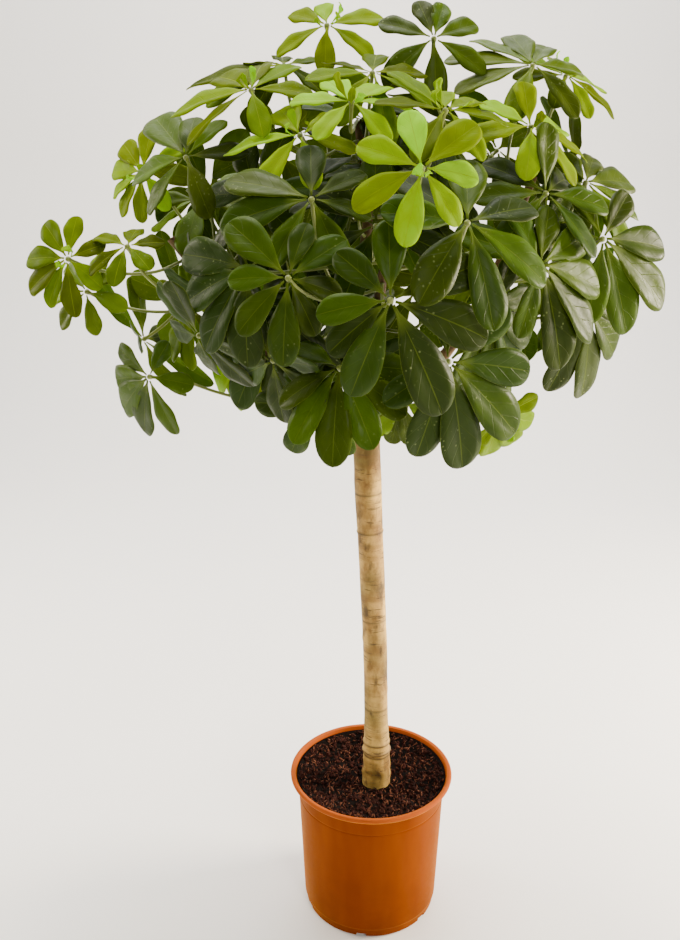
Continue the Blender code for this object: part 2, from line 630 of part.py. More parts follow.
def claim(grown, leaflets, path, radius):
    """Keep the space of these leaflets and this stalk from everything that grows later."""
    for leaflet in leaflets:
        grown.add(*leaflet_guard(leaflet))
    grown.add(*stalk_guard(path, radius))


def grow_single_leaf(name, leaf, grown, seats, group, tools):
    hub, azimuth, elevation, age, spokes = leaf
    hub, looks = Vector(hub), looks_along(azimuth, elevation)
    path = find_seat(grown, seats, hub, looks[0], PETIOLE_LENGTH)
    shape = (LEAFLET_ROWS, ROW_WIDTHS) if hub.y < FRONT_LEAVES else (PLAIN_ROWS, PLAIN_WIDTHS)
    leaflets = grow_leaflets(grown, (hub, *leaf[1:]), shape) if path else []
    if len(leaflets) < FEWEST_LEAFLETS:
        return
    claim(grown, leaflets, path, PETIOLE_RADIUS)
    material = make_material(name, mix(MATURE, YOUNG, age), 0.4)
    join_to_stalk(leaf_object(name, [(hub, looks, leaflets)], group, material), [with_knob(path)], tools)


def crown_point(azimuth, elevation):
    """A place on the crown's rounded outside."""
    face = looks_along(azimuth, elevation)[0]
    return CROWN_MIDDLE + Vector([face[k] * CROWN_RADII[k] for k in range(3)])


def grow_shoot(name, azimuth, elevation, grown, seats, group, tools):
    """A twig with two leaves that grew as one piece."""
    face = looks_along(azimuth, elevation)[0]
    tip = crown_point(azimuth, elevation) - face * SHOOT_LENGTH
    twig = find_seat(grown, seats, tip, face, SHOOT_LENGTH)
    if twig is None:
        return
    tubes, sheets = [(twig, [SHOOT_RADIUS] * len(twig))], []
    for turn, lift in SHOOT_LEAF_OFFSETS:
        angles = (azimuth + turn, elevation + lift)
        hub, looks = crown_point(*angles), looks_along(*angles)
        path = petiole_route(tip - face * SHOOT_RADIUS, (hub - tip).normalized(), hub, looks[0])
        if not grown.is_free(*stalk_guard(path, PETIOLE_RADIUS)):
            continue
        spokes = fan(SHOOT_LEAFLETS, azimuth * 3, SHOOT_REACH)
        leaflets = grow_leaflets(grown, (hub, *angles, 0, spokes), (PLAIN_ROWS, PLAIN_WIDTHS))
        if len(leaflets) >= FEWEST_LEAFLETS:
            claim(grown, leaflets, path[2:], PETIOLE_RADIUS)
            tubes.append(with_knob(path))
            sheets.append((hub, looks, leaflets))
    if not sheets:
        return
    for points, radii in tubes:
        grown.add(*tube_guard(points, radii))
    material = make_material(name, mix(MATURE, YOUNG, 0.15), 0.4)
    join_to_stalk(leaf_object(name, sheets, group, material), tubes, tools)


def main():
    clear_scene()
    group = make_collection("umbrella_plant")
    tools = make_collection("cutters")
    make_pot(group, tools, make_material("orange_plastic", (0.62, 0.19, 0.05, 1), 0.45))
    make_soil(group, tools, make_material("potting_mix", (0.03, 0.018, 0.012, 1), 0.95))

    bark = make_material("pale_bark", (0.42, 0.33, 0.20, 1), 0.8)
    wood = make_material("branch_bark", (0.22, 0.12, 0.06, 1), 0.75)
    grown = Grown()
    seats = []
    stem_path, stem_radii = stem_route()
    shade(add_object("stem", tube_mesh("stem", [(stem_path, stem_radii)], STEM_ROUNDNESS), group, bark))
    grown.add(*tube_guard(stem_path, stem_radii, 10))
    for name, path, radii in branch_routes(stem_path, stem_radii):
        shade(add_object(name, tube_mesh(name, [(path, radii)], BRANCH_ROUNDNESS), group, wood))
        grown.add(*tube_guard(path, radii, 8))
        for i in range(2, len(path)):
            ahead = (path[i] - path[i - 1]).normalized()
            for part in (0.0, 0.33, 0.67):
                seats.append((path[i].lerp(path[i - 1], part), ahead, radii[i - 1]))

    for name, leaf in LEAVES.items():
        grow_single_leaf(name, leaf, grown, seats, group, tools)
    for i, (azimuth, elevation) in enumerate(SHOOTS):
        grow_shoot(f"side_shoot_{i + 1:02d}", azimuth, elevation, grown, seats, group, tools)


main()
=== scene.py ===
"""Looks of the potted umbrella plant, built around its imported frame."""

import json
import math
import random
from collections import namedtuple

import bmesh
import bpy
from mathutils import Matrix, Vector, noise
from mathutils.bvhtree import BVHTree


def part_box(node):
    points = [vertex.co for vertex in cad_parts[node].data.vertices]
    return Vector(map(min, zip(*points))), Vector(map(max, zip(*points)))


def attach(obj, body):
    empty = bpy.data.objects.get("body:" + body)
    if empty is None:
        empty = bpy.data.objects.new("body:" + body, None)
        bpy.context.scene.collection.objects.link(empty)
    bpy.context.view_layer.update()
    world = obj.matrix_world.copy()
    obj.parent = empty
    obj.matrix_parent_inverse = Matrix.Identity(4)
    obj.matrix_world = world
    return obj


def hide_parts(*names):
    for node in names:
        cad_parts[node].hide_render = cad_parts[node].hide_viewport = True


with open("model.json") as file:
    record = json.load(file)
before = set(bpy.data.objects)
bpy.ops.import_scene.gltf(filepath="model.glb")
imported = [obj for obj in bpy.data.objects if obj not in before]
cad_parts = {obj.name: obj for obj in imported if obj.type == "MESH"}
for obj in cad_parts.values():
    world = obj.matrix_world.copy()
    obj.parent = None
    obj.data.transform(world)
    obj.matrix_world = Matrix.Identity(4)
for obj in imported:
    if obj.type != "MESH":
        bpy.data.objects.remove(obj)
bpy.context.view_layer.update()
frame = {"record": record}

MM = 0.001
GAP = 0.3 * MM
MERGE_DISTANCE = 0.01 * MM

# Stem and branches: points along the middle, and the radius at both ends
STEM = [(0.0065, 0, 0.112), (0.0065, 0, 0.170), (0.0052, 0, 0.250), (0.0025, 0, 0.350),
        (-0.0025, 0, 0.450), (-0.007, 0.002, 0.540), (-0.010, 0.005, 0.620), (-0.013, 0.006, 0.690)]
STEM_RADII = [16.5 * MM, 16.2 * MM, 13.8 * MM, 13.3 * MM, 14.0 * MM, 14.8 * MM, 13.8 * MM, 11.0 * MM]
SCAR_RINGS = [(0.205, 1.6 * MM), (0.216, 1.2 * MM), (0.481, 0.8 * MM)]   # height, how far it stands out
SCAR_SLOPE = 2.5 * MM               # from a scar ring's ridge up or down to the plain stem
SCAR_ROOM = 3.5 * MM                # other points keep this far from the ridge

# Each branch: the height where it sits on the stem, the way it leaves (azimuth 0 is -Y, 90 is +X),
# and the points that it then passes. The leader goes on from the stem's cut top.
LEADER = [(-0.015, 0.004, 0.75), (-0.010, 0.0, 0.82), (-0.020, 0.005, 0.90)]
BRANCHES = {
    "branch_left": (0.600, -90, [(-0.080, 0.000, 0.635), (-0.140, 0.005, 0.710), (-0.205, 0.010, 0.790)]),
    "branch_right": (0.618, 88, [(0.050, 0.000, 0.650), (0.105, -0.005, 0.730), (0.150, 0.000, 0.850)]),
    "branch_front": (0.648, 2, [(-0.010, -0.060, 0.675), (-0.005, -0.100, 0.730), (0.005, -0.140, 0.800)]),
    "branch_back": (0.634, 178, [(-0.014, 0.075, 0.665), (-0.010, 0.130, 0.735), (-0.005, 0.170, 0.820)]),
}
BRANCH_START = 9 * MM               # straight out of the stem before the first bend
BRANCH_SEAT_GAP = 0.6 * MM          # to the round stem, whose flats lie a little further in
BRANCH_FOOT_RADIUS = 7.5 * MM
BRANCH_TIP_RADIUS = 4.0 * MM
ROUTE_STEPS = 3                     # smooth points between two given ones

# Compound leaves
LEAFLET_WIDTH = 0.42                # of the leaflet's reach, within the two widths below
LEAFLET_WIDTHS = (20 * MM, 40 * MM)
LEAFLET_ROWS = (0.0, 0.44, 0.72, 1.0)       # along a leaflet, from the hub's edge to the tip
ROW_WIDTHS = (0.1, 0.66, 0.95, 0.0)
PLAIN_ROWS = (0.0, 0.58, 1.0)
PLAIN_WIDTHS = (0.1, 1.0, 0.0)
FRONT_LEAVES = -0.11                # hubs in front of this have the full outline
LEAFLET_SAGS = (0.07, 0.19)         # of the reach, how far a tip that points up or down bends down
DROOPS = (2, 20)                    # degrees that such a leaflet leans back from the leaf's face
DROOP_CHANGES = (0, -14, 14, 28, -28)       # tried in this order, until the leaflet is free
CLOCK_CHANGES = (0, 7, -7)
REACH_CHANGES = (1.0, 0.88, 0.76, 0.6)
HUB_RADIUS = 4 * MM
KNOB_RADIUS = 2.3 * MM
PETIOLE_RADIUS = 1.5 * MM
PETIOLE_FOOT = 1.25                 # of that radius, at its foot
CLEARANCE = 1.0 * MM                # kept around a leaflet while the crown fills
SEAT_SPACING = 10 * MM              # between two petiole feet on a branch
PETIOLE_LENGTH = 110 * MM
PETIOLE_STEPS = 4
PETIOLE_START = 3 * MM              # square off the branch
PETIOLE_BENDS = (0.35, 0.40)        # of the straight distance, at the foot and at the hub
RISE_COST = 3                       # a seat that is above its leaf counts as this much further away
SEAT_SHARES = (0.0, 0.33, 0.67)     # of a step along a branch, where a leaf can sit
SPARE_SHARES = (0.1, 0.3, 0.5, 0.7, 0.9)    # and where a small inner leaf can


def fan(count, start, reach):
    """Evenly spaced leaflets: clock angle in degrees from the first, and one reach in mm."""
    return [(start + 360 * i / count, reach) for i in range(count)]


# Every leaf: hub, azimuth and elevation that it looks along (azimuth 0 is -Y, and 90 is +X),
# age from 0 (mature) to 1 (young), and each leaflet's clock angle and reach in mm.
LEAVES = {
    "leaf_front_centre": ((0.002, -0.235, 0.769), 3, 18, 0.05,
        [(0, 65), (65, 80), (105, 85), (150, 95), (205, 75), (235, 60), (265, 58), (315, 58)]),
    "leaf_front_left": ((-0.078, -0.200, 0.781), -5, 25, 0.05,
        [(15, 50), (50, 58), (100, 44), (150, 46), (185, 64), (230, 58), (275, 52), (315, 74)]),
    "leaf_middle_left": ((-0.114, -0.150, 0.782), -25, 20, 0.0,
        [(50, 48), (185, 78), (220, 85), (252, 80), (282, 82), (330, 60)]),
    "leaf_upper_left": ((-0.060, -0.160, 0.839), -5, 42, 0.1,
        [(50, 55), (95, 50), (150, 60), (215, 58), (265, 80), (295, 85), (355, 62)]),
    "leaf_front_right": ((0.052, -0.200, 0.713), 10, 10, 0.05,
        [(50, 72), (95, 80), (130, 95), (165, 95), (195, 82), (240, 60), (355, 52)]),
    "leaf_low_front": ((-0.037, -0.170, 0.701), -10, 40, 0.25,
        [(80, 62), (115, 66), (150, 68), (182, 76), (215, 70), (245, 60), (300, 50)]),
    "leaf_bright_centre": ((0.024, -0.230, 0.866), 0, 32, 0.95,
        [(45, 62), (90, 44), (140, 46), (195, 52), (250, 56), (300, 55), (350, 53)]),
    "leaf_bright_left": ((-0.071, -0.100, 0.888), -20, 58, 0.8,
        [(30, 45), (90, 50), (150, 50), (210, 55), (275, 80), (325, 70)]),
    "leaf_crown_front": ((-0.027, -0.120, 0.914), 10, 66, 0.95,
        [(35, 70), (70, 60), (140, 45), (230, 45), (300, 55), (350, 60)]),
    "leaf_crown_left": ((-0.116, -0.050, 0.926), -20, 64, 0.62,
        [(15, 70), (70, 55), (150, 50), (230, 70), (275, 90), (315, 85), (345, 75)]),
    "leaf_crown_far_left": ((-0.090, 0.020, 0.950), -10, 72, 0.4,
        [(285, 112), (310, 60), (345, 50), (40, 50), (120, 50), (200, 60), (250, 80)]),
    "leaf_crown_top": ((-0.049, 0.020, 0.985), -5, 52, 0.8,
        [(60, 60), (115, 50), (180, 45), (250, 52), (310, 50), (350, 42)]),
    "leaf_crown_right": ((0.143, 0.000, 0.949), 10, 60, 0.3,
        [(0, 75), (30, 62), (75, 60), (140, 60), (210, 60), (265, 75), (300, 85), (330, 80)]),
    "leaf_crown_far_right": ((0.185, 0.050, 0.942), 35, 62, 0.6,
        [(35, 65), (80, 75), (120, 65), (170, 45), (230, 45), (290, 55), (340, 60)]),
    "leaf_shoulder_right": ((0.134, -0.060, 0.895), 35, 60, 0.85,
        [(340, 55), (20, 55), (70, 75), (100, 75), (150, 60), (215, 55), (280, 60)]),
    "leaf_crown_middle": ((0.051, -0.120, 0.908), 15, 64, 0.6,
        [(15, 50), (50, 60), (80, 65), (150, 50), (220, 55), (285, 60), (330, 68)]),
    "leaf_left_tip": ((-0.298, -0.030, 0.775), -20, 25, 0.6,
        [(0, 45), (60, 40), (120, 40), (175, 50), (215, 50), (245, 60), (275, 58), (315, 55)]),
    "leaf_left_low": ((-0.290, 0.000, 0.739), -25, 30, 0.45,
        [(10, 45), (45, 40), (100, 45), (160, 40), (230, 50), (270, 60), (310, 50)]),
    "leaf_left_small": ((-0.236, -0.050, 0.789), -20, 66, 0.5,
        [(55, 35), (120, 35), (180, 40), (235, 42), (290, 45), (345, 40)]),
    "leaf_left_wheel": ((-0.238, 0.060, 0.851), -30, 30, 0.8,
        [(50, 50), (85, 55), (130, 45), (180, 45), (220, 50), (250, 50), (280, 55), (310, 60), (350, 60)]),
    "leaf_left_broad": ((-0.180, -0.030, 0.868), -30, 44, 0.3,
        [(310, 108), (340, 60), (20, 55), (70, 60), (140, 60), (220, 60), (265, 75)]),
    "leaf_left_long": ((-0.179, 0.050, 0.825), -35, 60, 0.3,
        [(280, 108), (250, 80), (315, 60), (10, 60), (80, 60), (160, 70)]),
    "leaf_left_under": ((-0.187, 0.000, 0.720), -40, 15, 0.4,
        [(300, 50), (250, 65), (225, 70), (195, 60), (120, 55), (60, 50), (0, 50)]),
    "leaf_left_hanging": ((-0.227, -0.030, 0.659), -35, 5, 0.2,
        [(295, 60), (262, 70), (238, 80), (210, 75), (165, 60), (90, 50), (30, 45)]),
    "leaf_left_lime": ((-0.140, 0.030, 0.675), -40, 5, 0.6,
        [(235, 85), (208, 80), (265, 60), (160, 60), (110, 60), (320, 60)]),
    "leaf_low_left": ((-0.104, -0.050, 0.705), -20, 0, 0.0,
        [(180, 85), (148, 80), (212, 85), (115, 70), (250, 70), (60, 60)]),
    "leaf_right_front": ((0.134, -0.140, 0.784), 25, 25, 0.15,
        [(25, 60), (65, 72), (100, 80), (130, 90), (160, 88), (200, 58), (300, 80), (345, 58)]),
    "leaf_right_outer": ((0.201, -0.080, 0.799), 18, 25, 0.15,
        [(90, 80), (122, 95), (155, 85), (190, 70), (235, 55), (285, 50), (340, 60), (40, 62)]),
    "leaf_middle_right": ((0.063, -0.200, 0.824), 15, 46, 0.1, fan(7, 15, 78)),
    "leaf_right_upper": ((0.143, -0.100, 0.840), 25, 40, 0.1, fan(8, 10, 66)),
    "leaf_right_shoulder": ((0.196, -0.020, 0.845), 25, 52, 0.3,
        [(75, 80), (110, 68), (40, 60), (0, 50), (150, 65), (205, 50), (270, 50)]),
    "leaf_right_inner": ((0.096, -0.120, 0.743), 30, 5, 0.1,
        [(115, 75), (140, 85), (165, 85), (195, 70), (80, 60), (35, 55), (330, 50)]),
    "leaf_right_low": ((0.200, -0.050, 0.729), 30, 5, 0.1,
        [(125, 80), (160, 95), (90, 65), (195, 80), (50, 60), (0, 50)]),
    "leaf_right_drooping": ((0.125, -0.020, 0.615), 20, -20, 0.6,
        [(110, 60), (140, 70), (165, 72), (192, 68), (70, 50)]),
    "leaf_right_under": ((0.132, 0.050, 0.650), 50, 10, 0.2, fan(7, 10, 70)),
    "leaf_low_small": ((0.022, -0.080, 0.648), 0, 0, 0.4,
        [(165, 50), (190, 48), (215, 45), (120, 40), (250, 40)]),
    "leaf_crown_inner": ((-0.008, -0.050, 0.940), 5, 66, 0.5, fan(7, 10, 60)),
    "leaf_crown_tall": ((0.050, 0.000, 0.972), 10, 36, 0.25,
        [(350, 48), (20, 48), (60, 55), (120, 55), (180, 55), (240, 55), (300, 55)]),
    "leaf_inner_left": ((-0.115, -0.050, 0.835), -30, 30, 0.0, fan(7, 20, 70)),
    "leaf_inner_centre": ((-0.006, -0.130, 0.815), 0, 30, 0.0, fan(7, 0, 70)),
    "leaf_inner_low": ((-0.060, -0.110, 0.650), -10, -5, 0.1, fan(6, 30, 62)),
}

# Side shoots at the back: azimuth and elevation of each, seen from the crown's middle
CROWN_MIDDLE = Vector((-0.025, 0.020, 0.765))
CROWN_RADII = Vector((0.265, 0.235, 0.175))
SHOOTS = [(118, -18), (152, -12), (188, -20), (222, -12), (248, -22),
          (108, 22), (140, 28), (175, 20), (212, 28), (254, 30), (170, 58)]
SHOOT_LEAF_OFFSETS = [(-9, 9), (9, -8)]   # degrees of azimuth and elevation to its two leaves
SHOOT_LEAFLETS = 6
SHOOT_REACH = 84
FEWEST_LEAFLETS = 3
SHOOT_LENGTH = 70 * MM                    # from a shoot's tip back to its foot
SHOOT_RADIUS = 2.4 * MM


Leaflet = namedtuple("Leaflet", "rows normal clock tilt reach")


# ---------------------------------------------------------------- the same growth as the frame's solids

def smooth_path(points, steps):
    """Points along a smooth curve (Catmull-Rom) through the given ones."""
    points = [Vector(p) for p in points]
    ends = [points[0] * 2 - points[1]] + points + [points[-1] * 2 - points[-2]]
    path = []
    for a, b, c, d in zip(ends, ends[1:], ends[2:], ends[3:]):
        for i in range(steps):
            t = i / steps
            path.append(0.5 * (2 * b + (c - a) * t + (2 * a - 5 * b + 4 * c - d) * t * t
                               + (3 * b - 3 * c + d - a) * t ** 3))
    return path + [points[-1]]


def stem_route():
    """Smooth points up the stem, with a ring of extra points at each leaf scar."""
    path = smooth_path(STEM, ROUTE_STEPS)
    radii = []
    for i in range(len(path)):
        step = i / ROUTE_STEPS
        low = min(int(step), len(STEM_RADII) - 2)
        radii.append(STEM_RADII[low] + (STEM_RADII[low + 1] - STEM_RADII[low]) * (step - low))
    points = list(zip(path, radii))
    for height, proud in SCAR_RINGS:
        below = max(i for i, (p, r) in enumerate(points) if p.z < height)
        a, b = points[below], points[below + 1]
        ring = []
        for offset, out in ((-SCAR_SLOPE, 0), (0, proud), (SCAR_SLOPE, 0)):
            t = (height + offset - a[0].z) / (b[0].z - a[0].z)
            ring.append((a[0].lerp(b[0], t), a[1] + (b[1] - a[1]) * t + out))
        points = [p for p in points if abs(p[0].z - height) > SCAR_ROOM] + ring
        points.sort(key=lambda p: p[0].z)
    return [p for p, r in points], [r for p, r in points]


def branch_route(start, outward, points):
    """Straight out of the seat for a few millimetres, then smoothly through the points."""
    path = [start] + smooth_path([start + outward * BRANCH_START] + points, ROUTE_STEPS)
    taper = (BRANCH_TIP_RADIUS - BRANCH_FOOT_RADIUS) / (len(path) - 1)
    return path, [BRANCH_FOOT_RADIUS + taper * i for i in range(len(path))]


def branch_routes(stem_path, stem_radii):
    """Every branch's name, points and radii, seated square on the stem."""
    ahead = (stem_path[-1] - stem_path[-2]).normalized()
    start = stem_path[-1] + ahead * GAP
    yield "branch_leader", *branch_route(start, ahead, LEADER)
    for name, (height, azimuth, points) in BRANCHES.items():
        i = max(k for k, p in enumerate(stem_path[:-1]) if p.z < height)
        ahead = (stem_path[i + 1] - stem_path[i]).normalized()
        middle = stem_path[i] + ahead * ((height - stem_path[i].z) / ahead.z)
        outward = looks_along(azimuth, 0)[0]
        outward = (outward - ahead * outward.dot(ahead)).normalized()
        start = middle + outward * (stem_radii[i] + BRANCH_SEAT_GAP)
        yield name, *branch_route(start, outward, points)


def looks_along(azimuth, elevation):
    """The way a leaf faces, its upward clock hand and its right hand."""
    a, e = math.radians(azimuth), math.radians(elevation)
    face = Vector((math.sin(a) * math.cos(e), -math.cos(a) * math.cos(e), math.sin(e)))
    up = Vector((-math.sin(a) * math.sin(e), math.cos(a) * math.sin(e), math.cos(e)))
    return face, up, up.cross(face)


def box_of(points, margin):
    low = Vector([min(p[k] for p in points) - margin for k in range(3)])
    high = Vector([max(p[k] for p in points) + margin for k in range(3)])
    return low, high


class Grown:
    """Everything placed so far, as surfaces that a new piece may not cross."""

    def __init__(self):
        self.surfaces = []

    def add(self, points, faces):
        self.surfaces.append((box_of(points, 0), BVHTree.FromPolygons(points, faces)))

    def is_free(self, points, faces):
        low, high = box_of(points, 0)
        tree = BVHTree.FromPolygons(points, faces)
        for (other_low, other_high), other in self.surfaces:
            apart = any(low[k] > other_high[k] or high[k] < other_low[k] for k in range(3))
            if not apart and tree.overlap(other):
                return False
        return True


def tube_guard(path, radii, sides=6):
    """A plain tube a little fatter than the real one, for the crossing test."""
    points, faces = [], []
    for i, (point, radius) in enumerate(zip(path, radii)):
        ahead = (path[min(i + 1, len(path) - 1)] - path[max(i - 1, 0)]).normalized()
        side = ahead.orthogonal().normalized()
        other = ahead.cross(side)
        for k in range(sides):
            turn = 2 * math.pi * k / sides
            points.append(point + (side * math.cos(turn) + other * math.sin(turn)) * (radius + CLEARANCE))
        if i:
            base = (i - 1) * sides
            for k in range(sides):
                n = (k + 1) % sides
                faces.append((base + k, base + n, base + sides + n, base + sides + k))
    return points, faces


def stalk_guard(path, radius):
    """A petiole's guard, widened at its end to hold the hub."""
    return tube_guard(path, [radius] * (len(path) - 1) + [HUB_RADIUS])


def between(pair, clock):
    """From the pair's first value for a leaflet that points up to its second for one that hangs."""
    return pair[0] + (pair[1] - pair[0]) * (1 - math.cos(math.radians(clock))) / 2


def leaflet_width(reach):
    return min(max(LEAFLET_WIDTH * reach, LEAFLET_WIDTHS[0]), LEAFLET_WIDTHS[1])


def leaflet_rows(hub, looks, clock, reach, droop, shape):
    """Left and right edge points of a leaflet's rows, from the hub's edge to the tip, and its normal."""
    face, up, right = looks
    turn = math.radians(clock)
    out = up * math.cos(turn) + right * math.sin(turn)
    side = face.cross(out)
    tilt = math.radians(droop)
    width = leaflet_width(reach)
    sag = between(LEAFLET_SAGS, clock) * reach
    rows = []
    for along, wide in zip(*shape):
        distance = HUB_RADIUS + (reach - HUB_RADIUS) * along
        drop = sag * along * along
        middle = hub + out * distance * math.cos(tilt * along) - face * (
            (distance - HUB_RADIUS) * math.sin(tilt) + drop * 0.5)
        middle.z -= drop * 0.5
        rows.append((middle + side * width * wide * 0.5, middle - side * width * wide * 0.5))
    normal = (face * math.cos(tilt) + out * math.sin(tilt)).normalized()
    return Leaflet(rows, normal, clock, tilt, reach)


def leaflet_guard(leaflet):
    """A leaflet as a flat slab, thick enough to keep its neighbours clear."""
    rows, normal = leaflet[:2]
    points, faces = [], []
    for lift in (CLEARANCE, -CLEARANCE):
        for left, right in rows:
            points += [left + normal * lift, right + normal * lift]
    count = len(rows)
    for layer in (0, count * 2):
        for i in range(count - 1):
            a = layer + 2 * i
            faces.append((a, a + 1, a + 3, a + 2))
    for i in range(count - 1):
        for edge in (0, 1):
            a = 2 * i + edge
            faces.append((a, a + 2, a + 2 + count * 2, a + count * 2))
    return points, faces


def petiole_route(foot, outward, hub, face):
    """From square off the branch to straight into the back of the hub."""
    span = (hub - foot).length
    bend_a = foot + outward * span * PETIOLE_BENDS[0]
    bend_b = hub - face * span * PETIOLE_BENDS[1]
    path = [foot, foot + outward * PETIOLE_START]
    for i in range(1, PETIOLE_STEPS + 1):
        t = i / PETIOLE_STEPS
        path.append(foot * (1 - t) ** 3 + bend_a * 3 * t * (1 - t) ** 2
                    + bend_b * 3 * t * t * (1 - t) + hub * t ** 3)
    return path


def grow_leaflets(grown, leaf, shape):
    """Each leaflet takes the first droop and reach at which it crosses nothing."""
    hub, azimuth, elevation, age, spokes = leaf
    looks = looks_along(azimuth, elevation)
    placed = []
    for clock, reach in spokes:
        for shorter in REACH_CHANGES:
            options = [leaflet_rows(hub, looks, clock + turn, reach * shorter * MM,
                                    between(DROOPS, clock) + tilt, shape)
                       for turn in CLOCK_CHANGES for tilt in DROOP_CHANGES]
            free = next((o for o in options if grown.is_free(*leaflet_guard(o))), None)
            if free:
                placed.append(free)
                break
    return sorted(placed, key=lambda leaflet: leaflet.clock)


def find_seat(grown, seats, hub, face, length):
    """The free place on a branch nearest a good stalk's length from the hub."""
    def how_far_off(seat):
        return abs((seat[0] - hub).length - length) + max(0, seat[0].z - hub.z) * RISE_COST
    for point, ahead, radius in sorted(seats, key=how_far_off):
        outward = (hub - point) - ahead * (hub - point).dot(ahead)
        if outward.length < 1 * MM:
            continue
        outward.normalize()
        foot = point + outward * (radius + GAP)
        path = petiole_route(foot, outward, hub, face)
        if grown.is_free(*stalk_guard(path[1:], PETIOLE_RADIUS)):
            seats[:] = [s for s in seats if (s[0] - point).length > SEAT_SPACING]
            return path
    return None


def claim(grown, leaflets, path, radius):
    """Keep the space of these leaflets and this stalk from everything that grows later."""
    for leaflet in leaflets:
        grown.add(*leaflet_guard(leaflet))
    grown.add(*stalk_guard(path, radius))


def crown_point(azimuth, elevation):
    """A place on the crown's rounded outside."""
    face = looks_along(azimuth, elevation)[0]
    return CROWN_MIDDLE + Vector([face[k] * CROWN_RADII[k] for k in range(3)])


def with_knob(path):
    """A petiole's points and radii, with the knob that stands through the hub."""
    ahead = (path[-1] - path[-2]).normalized()
    radii = [PETIOLE_RADIUS * PETIOLE_FOOT] + [PETIOLE_RADIUS] * (len(path) - 1) + [KNOB_RADIUS]
    return path[:-1] + [path[-1] - ahead * KNOB_RADIUS, path[-1] + ahead * KNOB_RADIUS * 0.5], radii


def grow_plant():
    """The stem, the branches, and for each leaf piece its stalks and its leaves' blades."""
    grown, seats, leaves, branches = Grown(), [], [], []
    stem_path, stem_radii = stem_route()
    grown.add(*tube_guard(stem_path, stem_radii, 10))
    for name, path, radii in branch_routes(stem_path, stem_radii):
        branches.append((name, path, radii))
        grown.add(*tube_guard(path, radii, 8))
        for i in range(2, len(path)):
            ahead = (path[i] - path[i - 1]).normalized()
            for part in SEAT_SHARES:
                seats.append((path[i].lerp(path[i - 1], part), ahead, radii[i - 1]))
    for name, (hub, azimuth, elevation, age, spokes) in LEAVES.items():
        hub, looks = Vector(hub), looks_along(azimuth, elevation)
        path = find_seat(grown, seats, hub, looks[0], PETIOLE_LENGTH)
        shape = (LEAFLET_ROWS, ROW_WIDTHS) if hub.y < FRONT_LEAVES else (PLAIN_ROWS, PLAIN_WIDTHS)
        leaflets = grow_leaflets(grown, (hub, azimuth, elevation, age, spokes), shape) if path else []
        if len(leaflets) < FEWEST_LEAFLETS:
            continue
        claim(grown, leaflets, path, PETIOLE_RADIUS)
        leaves.append((name, [rounded_stalk(path, PETIOLE_RADIUS, True)], [(hub, looks, age, leaflets)]))
    for i, (azimuth, elevation) in enumerate(SHOOTS):
        shoot = grow_shoot(azimuth, elevation, grown, seats)
        if shoot:
            leaves.append((f"side_shoot_{i + 1:02d}", *shoot))
    inner_tubes, inner_sheets = grow_inner_leaves(grown, [(p, a, r) for n, path, radii in branches
                                                          for p, a, r in spare_seats(path, radii)])
    leaves.append(("inner_crown", inner_tubes, inner_sheets))
    return stem_path, stem_radii, branches, leaves


def spare_seats(path, radii):
    """Places every few millimetres along a branch where a small leaf can spring."""
    for (a, b), radius in zip(zip(path[1:], path[2:]), radii[2:]):
        for part in SPARE_SHARES:
            yield a.lerp(b, part), (b - a).normalized(), radius


def grow_inner_leaves(grown, seats):
    """Small leaves that fill the crown between the big ones, wherever one is free of the rest."""
    tubes, sheets = [], []
    low, high = INNER_ELEVATIONS
    for i in range(INNER_LEAVES):
        azimuth, elevation = i * GOLDEN_TURN % 360, low + (high - low) * (i * GOLDEN_SHARE % 1)
        looks = looks_along(azimuth, elevation)
        hub = CROWN_MIDDLE + (crown_point(azimuth, elevation) - CROWN_MIDDLE) * INNER_SHARES[i % 3]
        path = find_seat(grown, seats, hub, looks[0], PETIOLE_LENGTH * INNER_SHARES[i % 3])
        if path is None or hub.x < INNER_LEFT:
            continue
        spokes = fan(INNER_LEAFLETS, azimuth, INNER_REACH)
        leaflets = grow_leaflets(grown, (hub, azimuth, elevation, 0, spokes), (PLAIN_ROWS, PLAIN_WIDTHS))
        if len(leaflets) >= FEWEST_LEAFLETS:
            claim(grown, leaflets, path, PETIOLE_RADIUS)
            tubes.append(rounded_stalk(path, PETIOLE_RADIUS, True))
            sheets.append((hub, looks, 0, leaflets))
    return tubes, sheets


def grow_shoot(azimuth, elevation, grown, seats):
    """A twig with two leaves that grew as one piece."""
    face = looks_along(azimuth, elevation)[0]
    tip = crown_point(azimuth, elevation) - face * SHOOT_LENGTH
    twig = find_seat(grown, seats, tip, face, SHOOT_LENGTH)
    if twig is None:
        return None
    tubes, guards, sheets = [rounded_stalk(twig, SHOOT_RADIUS, False)], [], []
    for turn, lift in SHOOT_LEAF_OFFSETS:
        angles = (azimuth + turn, elevation + lift)
        hub, looks = crown_point(*angles), looks_along(*angles)
        path = petiole_route(tip - face * SHOOT_RADIUS, (hub - tip).normalized(), hub, looks[0])
        if not grown.is_free(*stalk_guard(path, PETIOLE_RADIUS)):
            continue
        spokes = fan(SHOOT_LEAFLETS, azimuth * 3, SHOOT_REACH)
        leaflets = grow_leaflets(grown, (hub, *angles, 0, spokes), (PLAIN_ROWS, PLAIN_WIDTHS))
        if len(leaflets) >= FEWEST_LEAFLETS:
            claim(grown, leaflets, path[2:], PETIOLE_RADIUS)
            tubes.append(rounded_stalk(path, PETIOLE_RADIUS, True))
            guards.append(with_knob(path))
            sheets.append((hub, looks, SHOOT_AGE, leaflets))
    if not sheets:
        return None
    for points, radii in [(twig, [SHOOT_RADIUS] * len(twig))] + guards:
        grown.add(*tube_guard(points, radii))
    return tubes, sheets


# ---------------------------------------------------------------- sizes of the fine surface

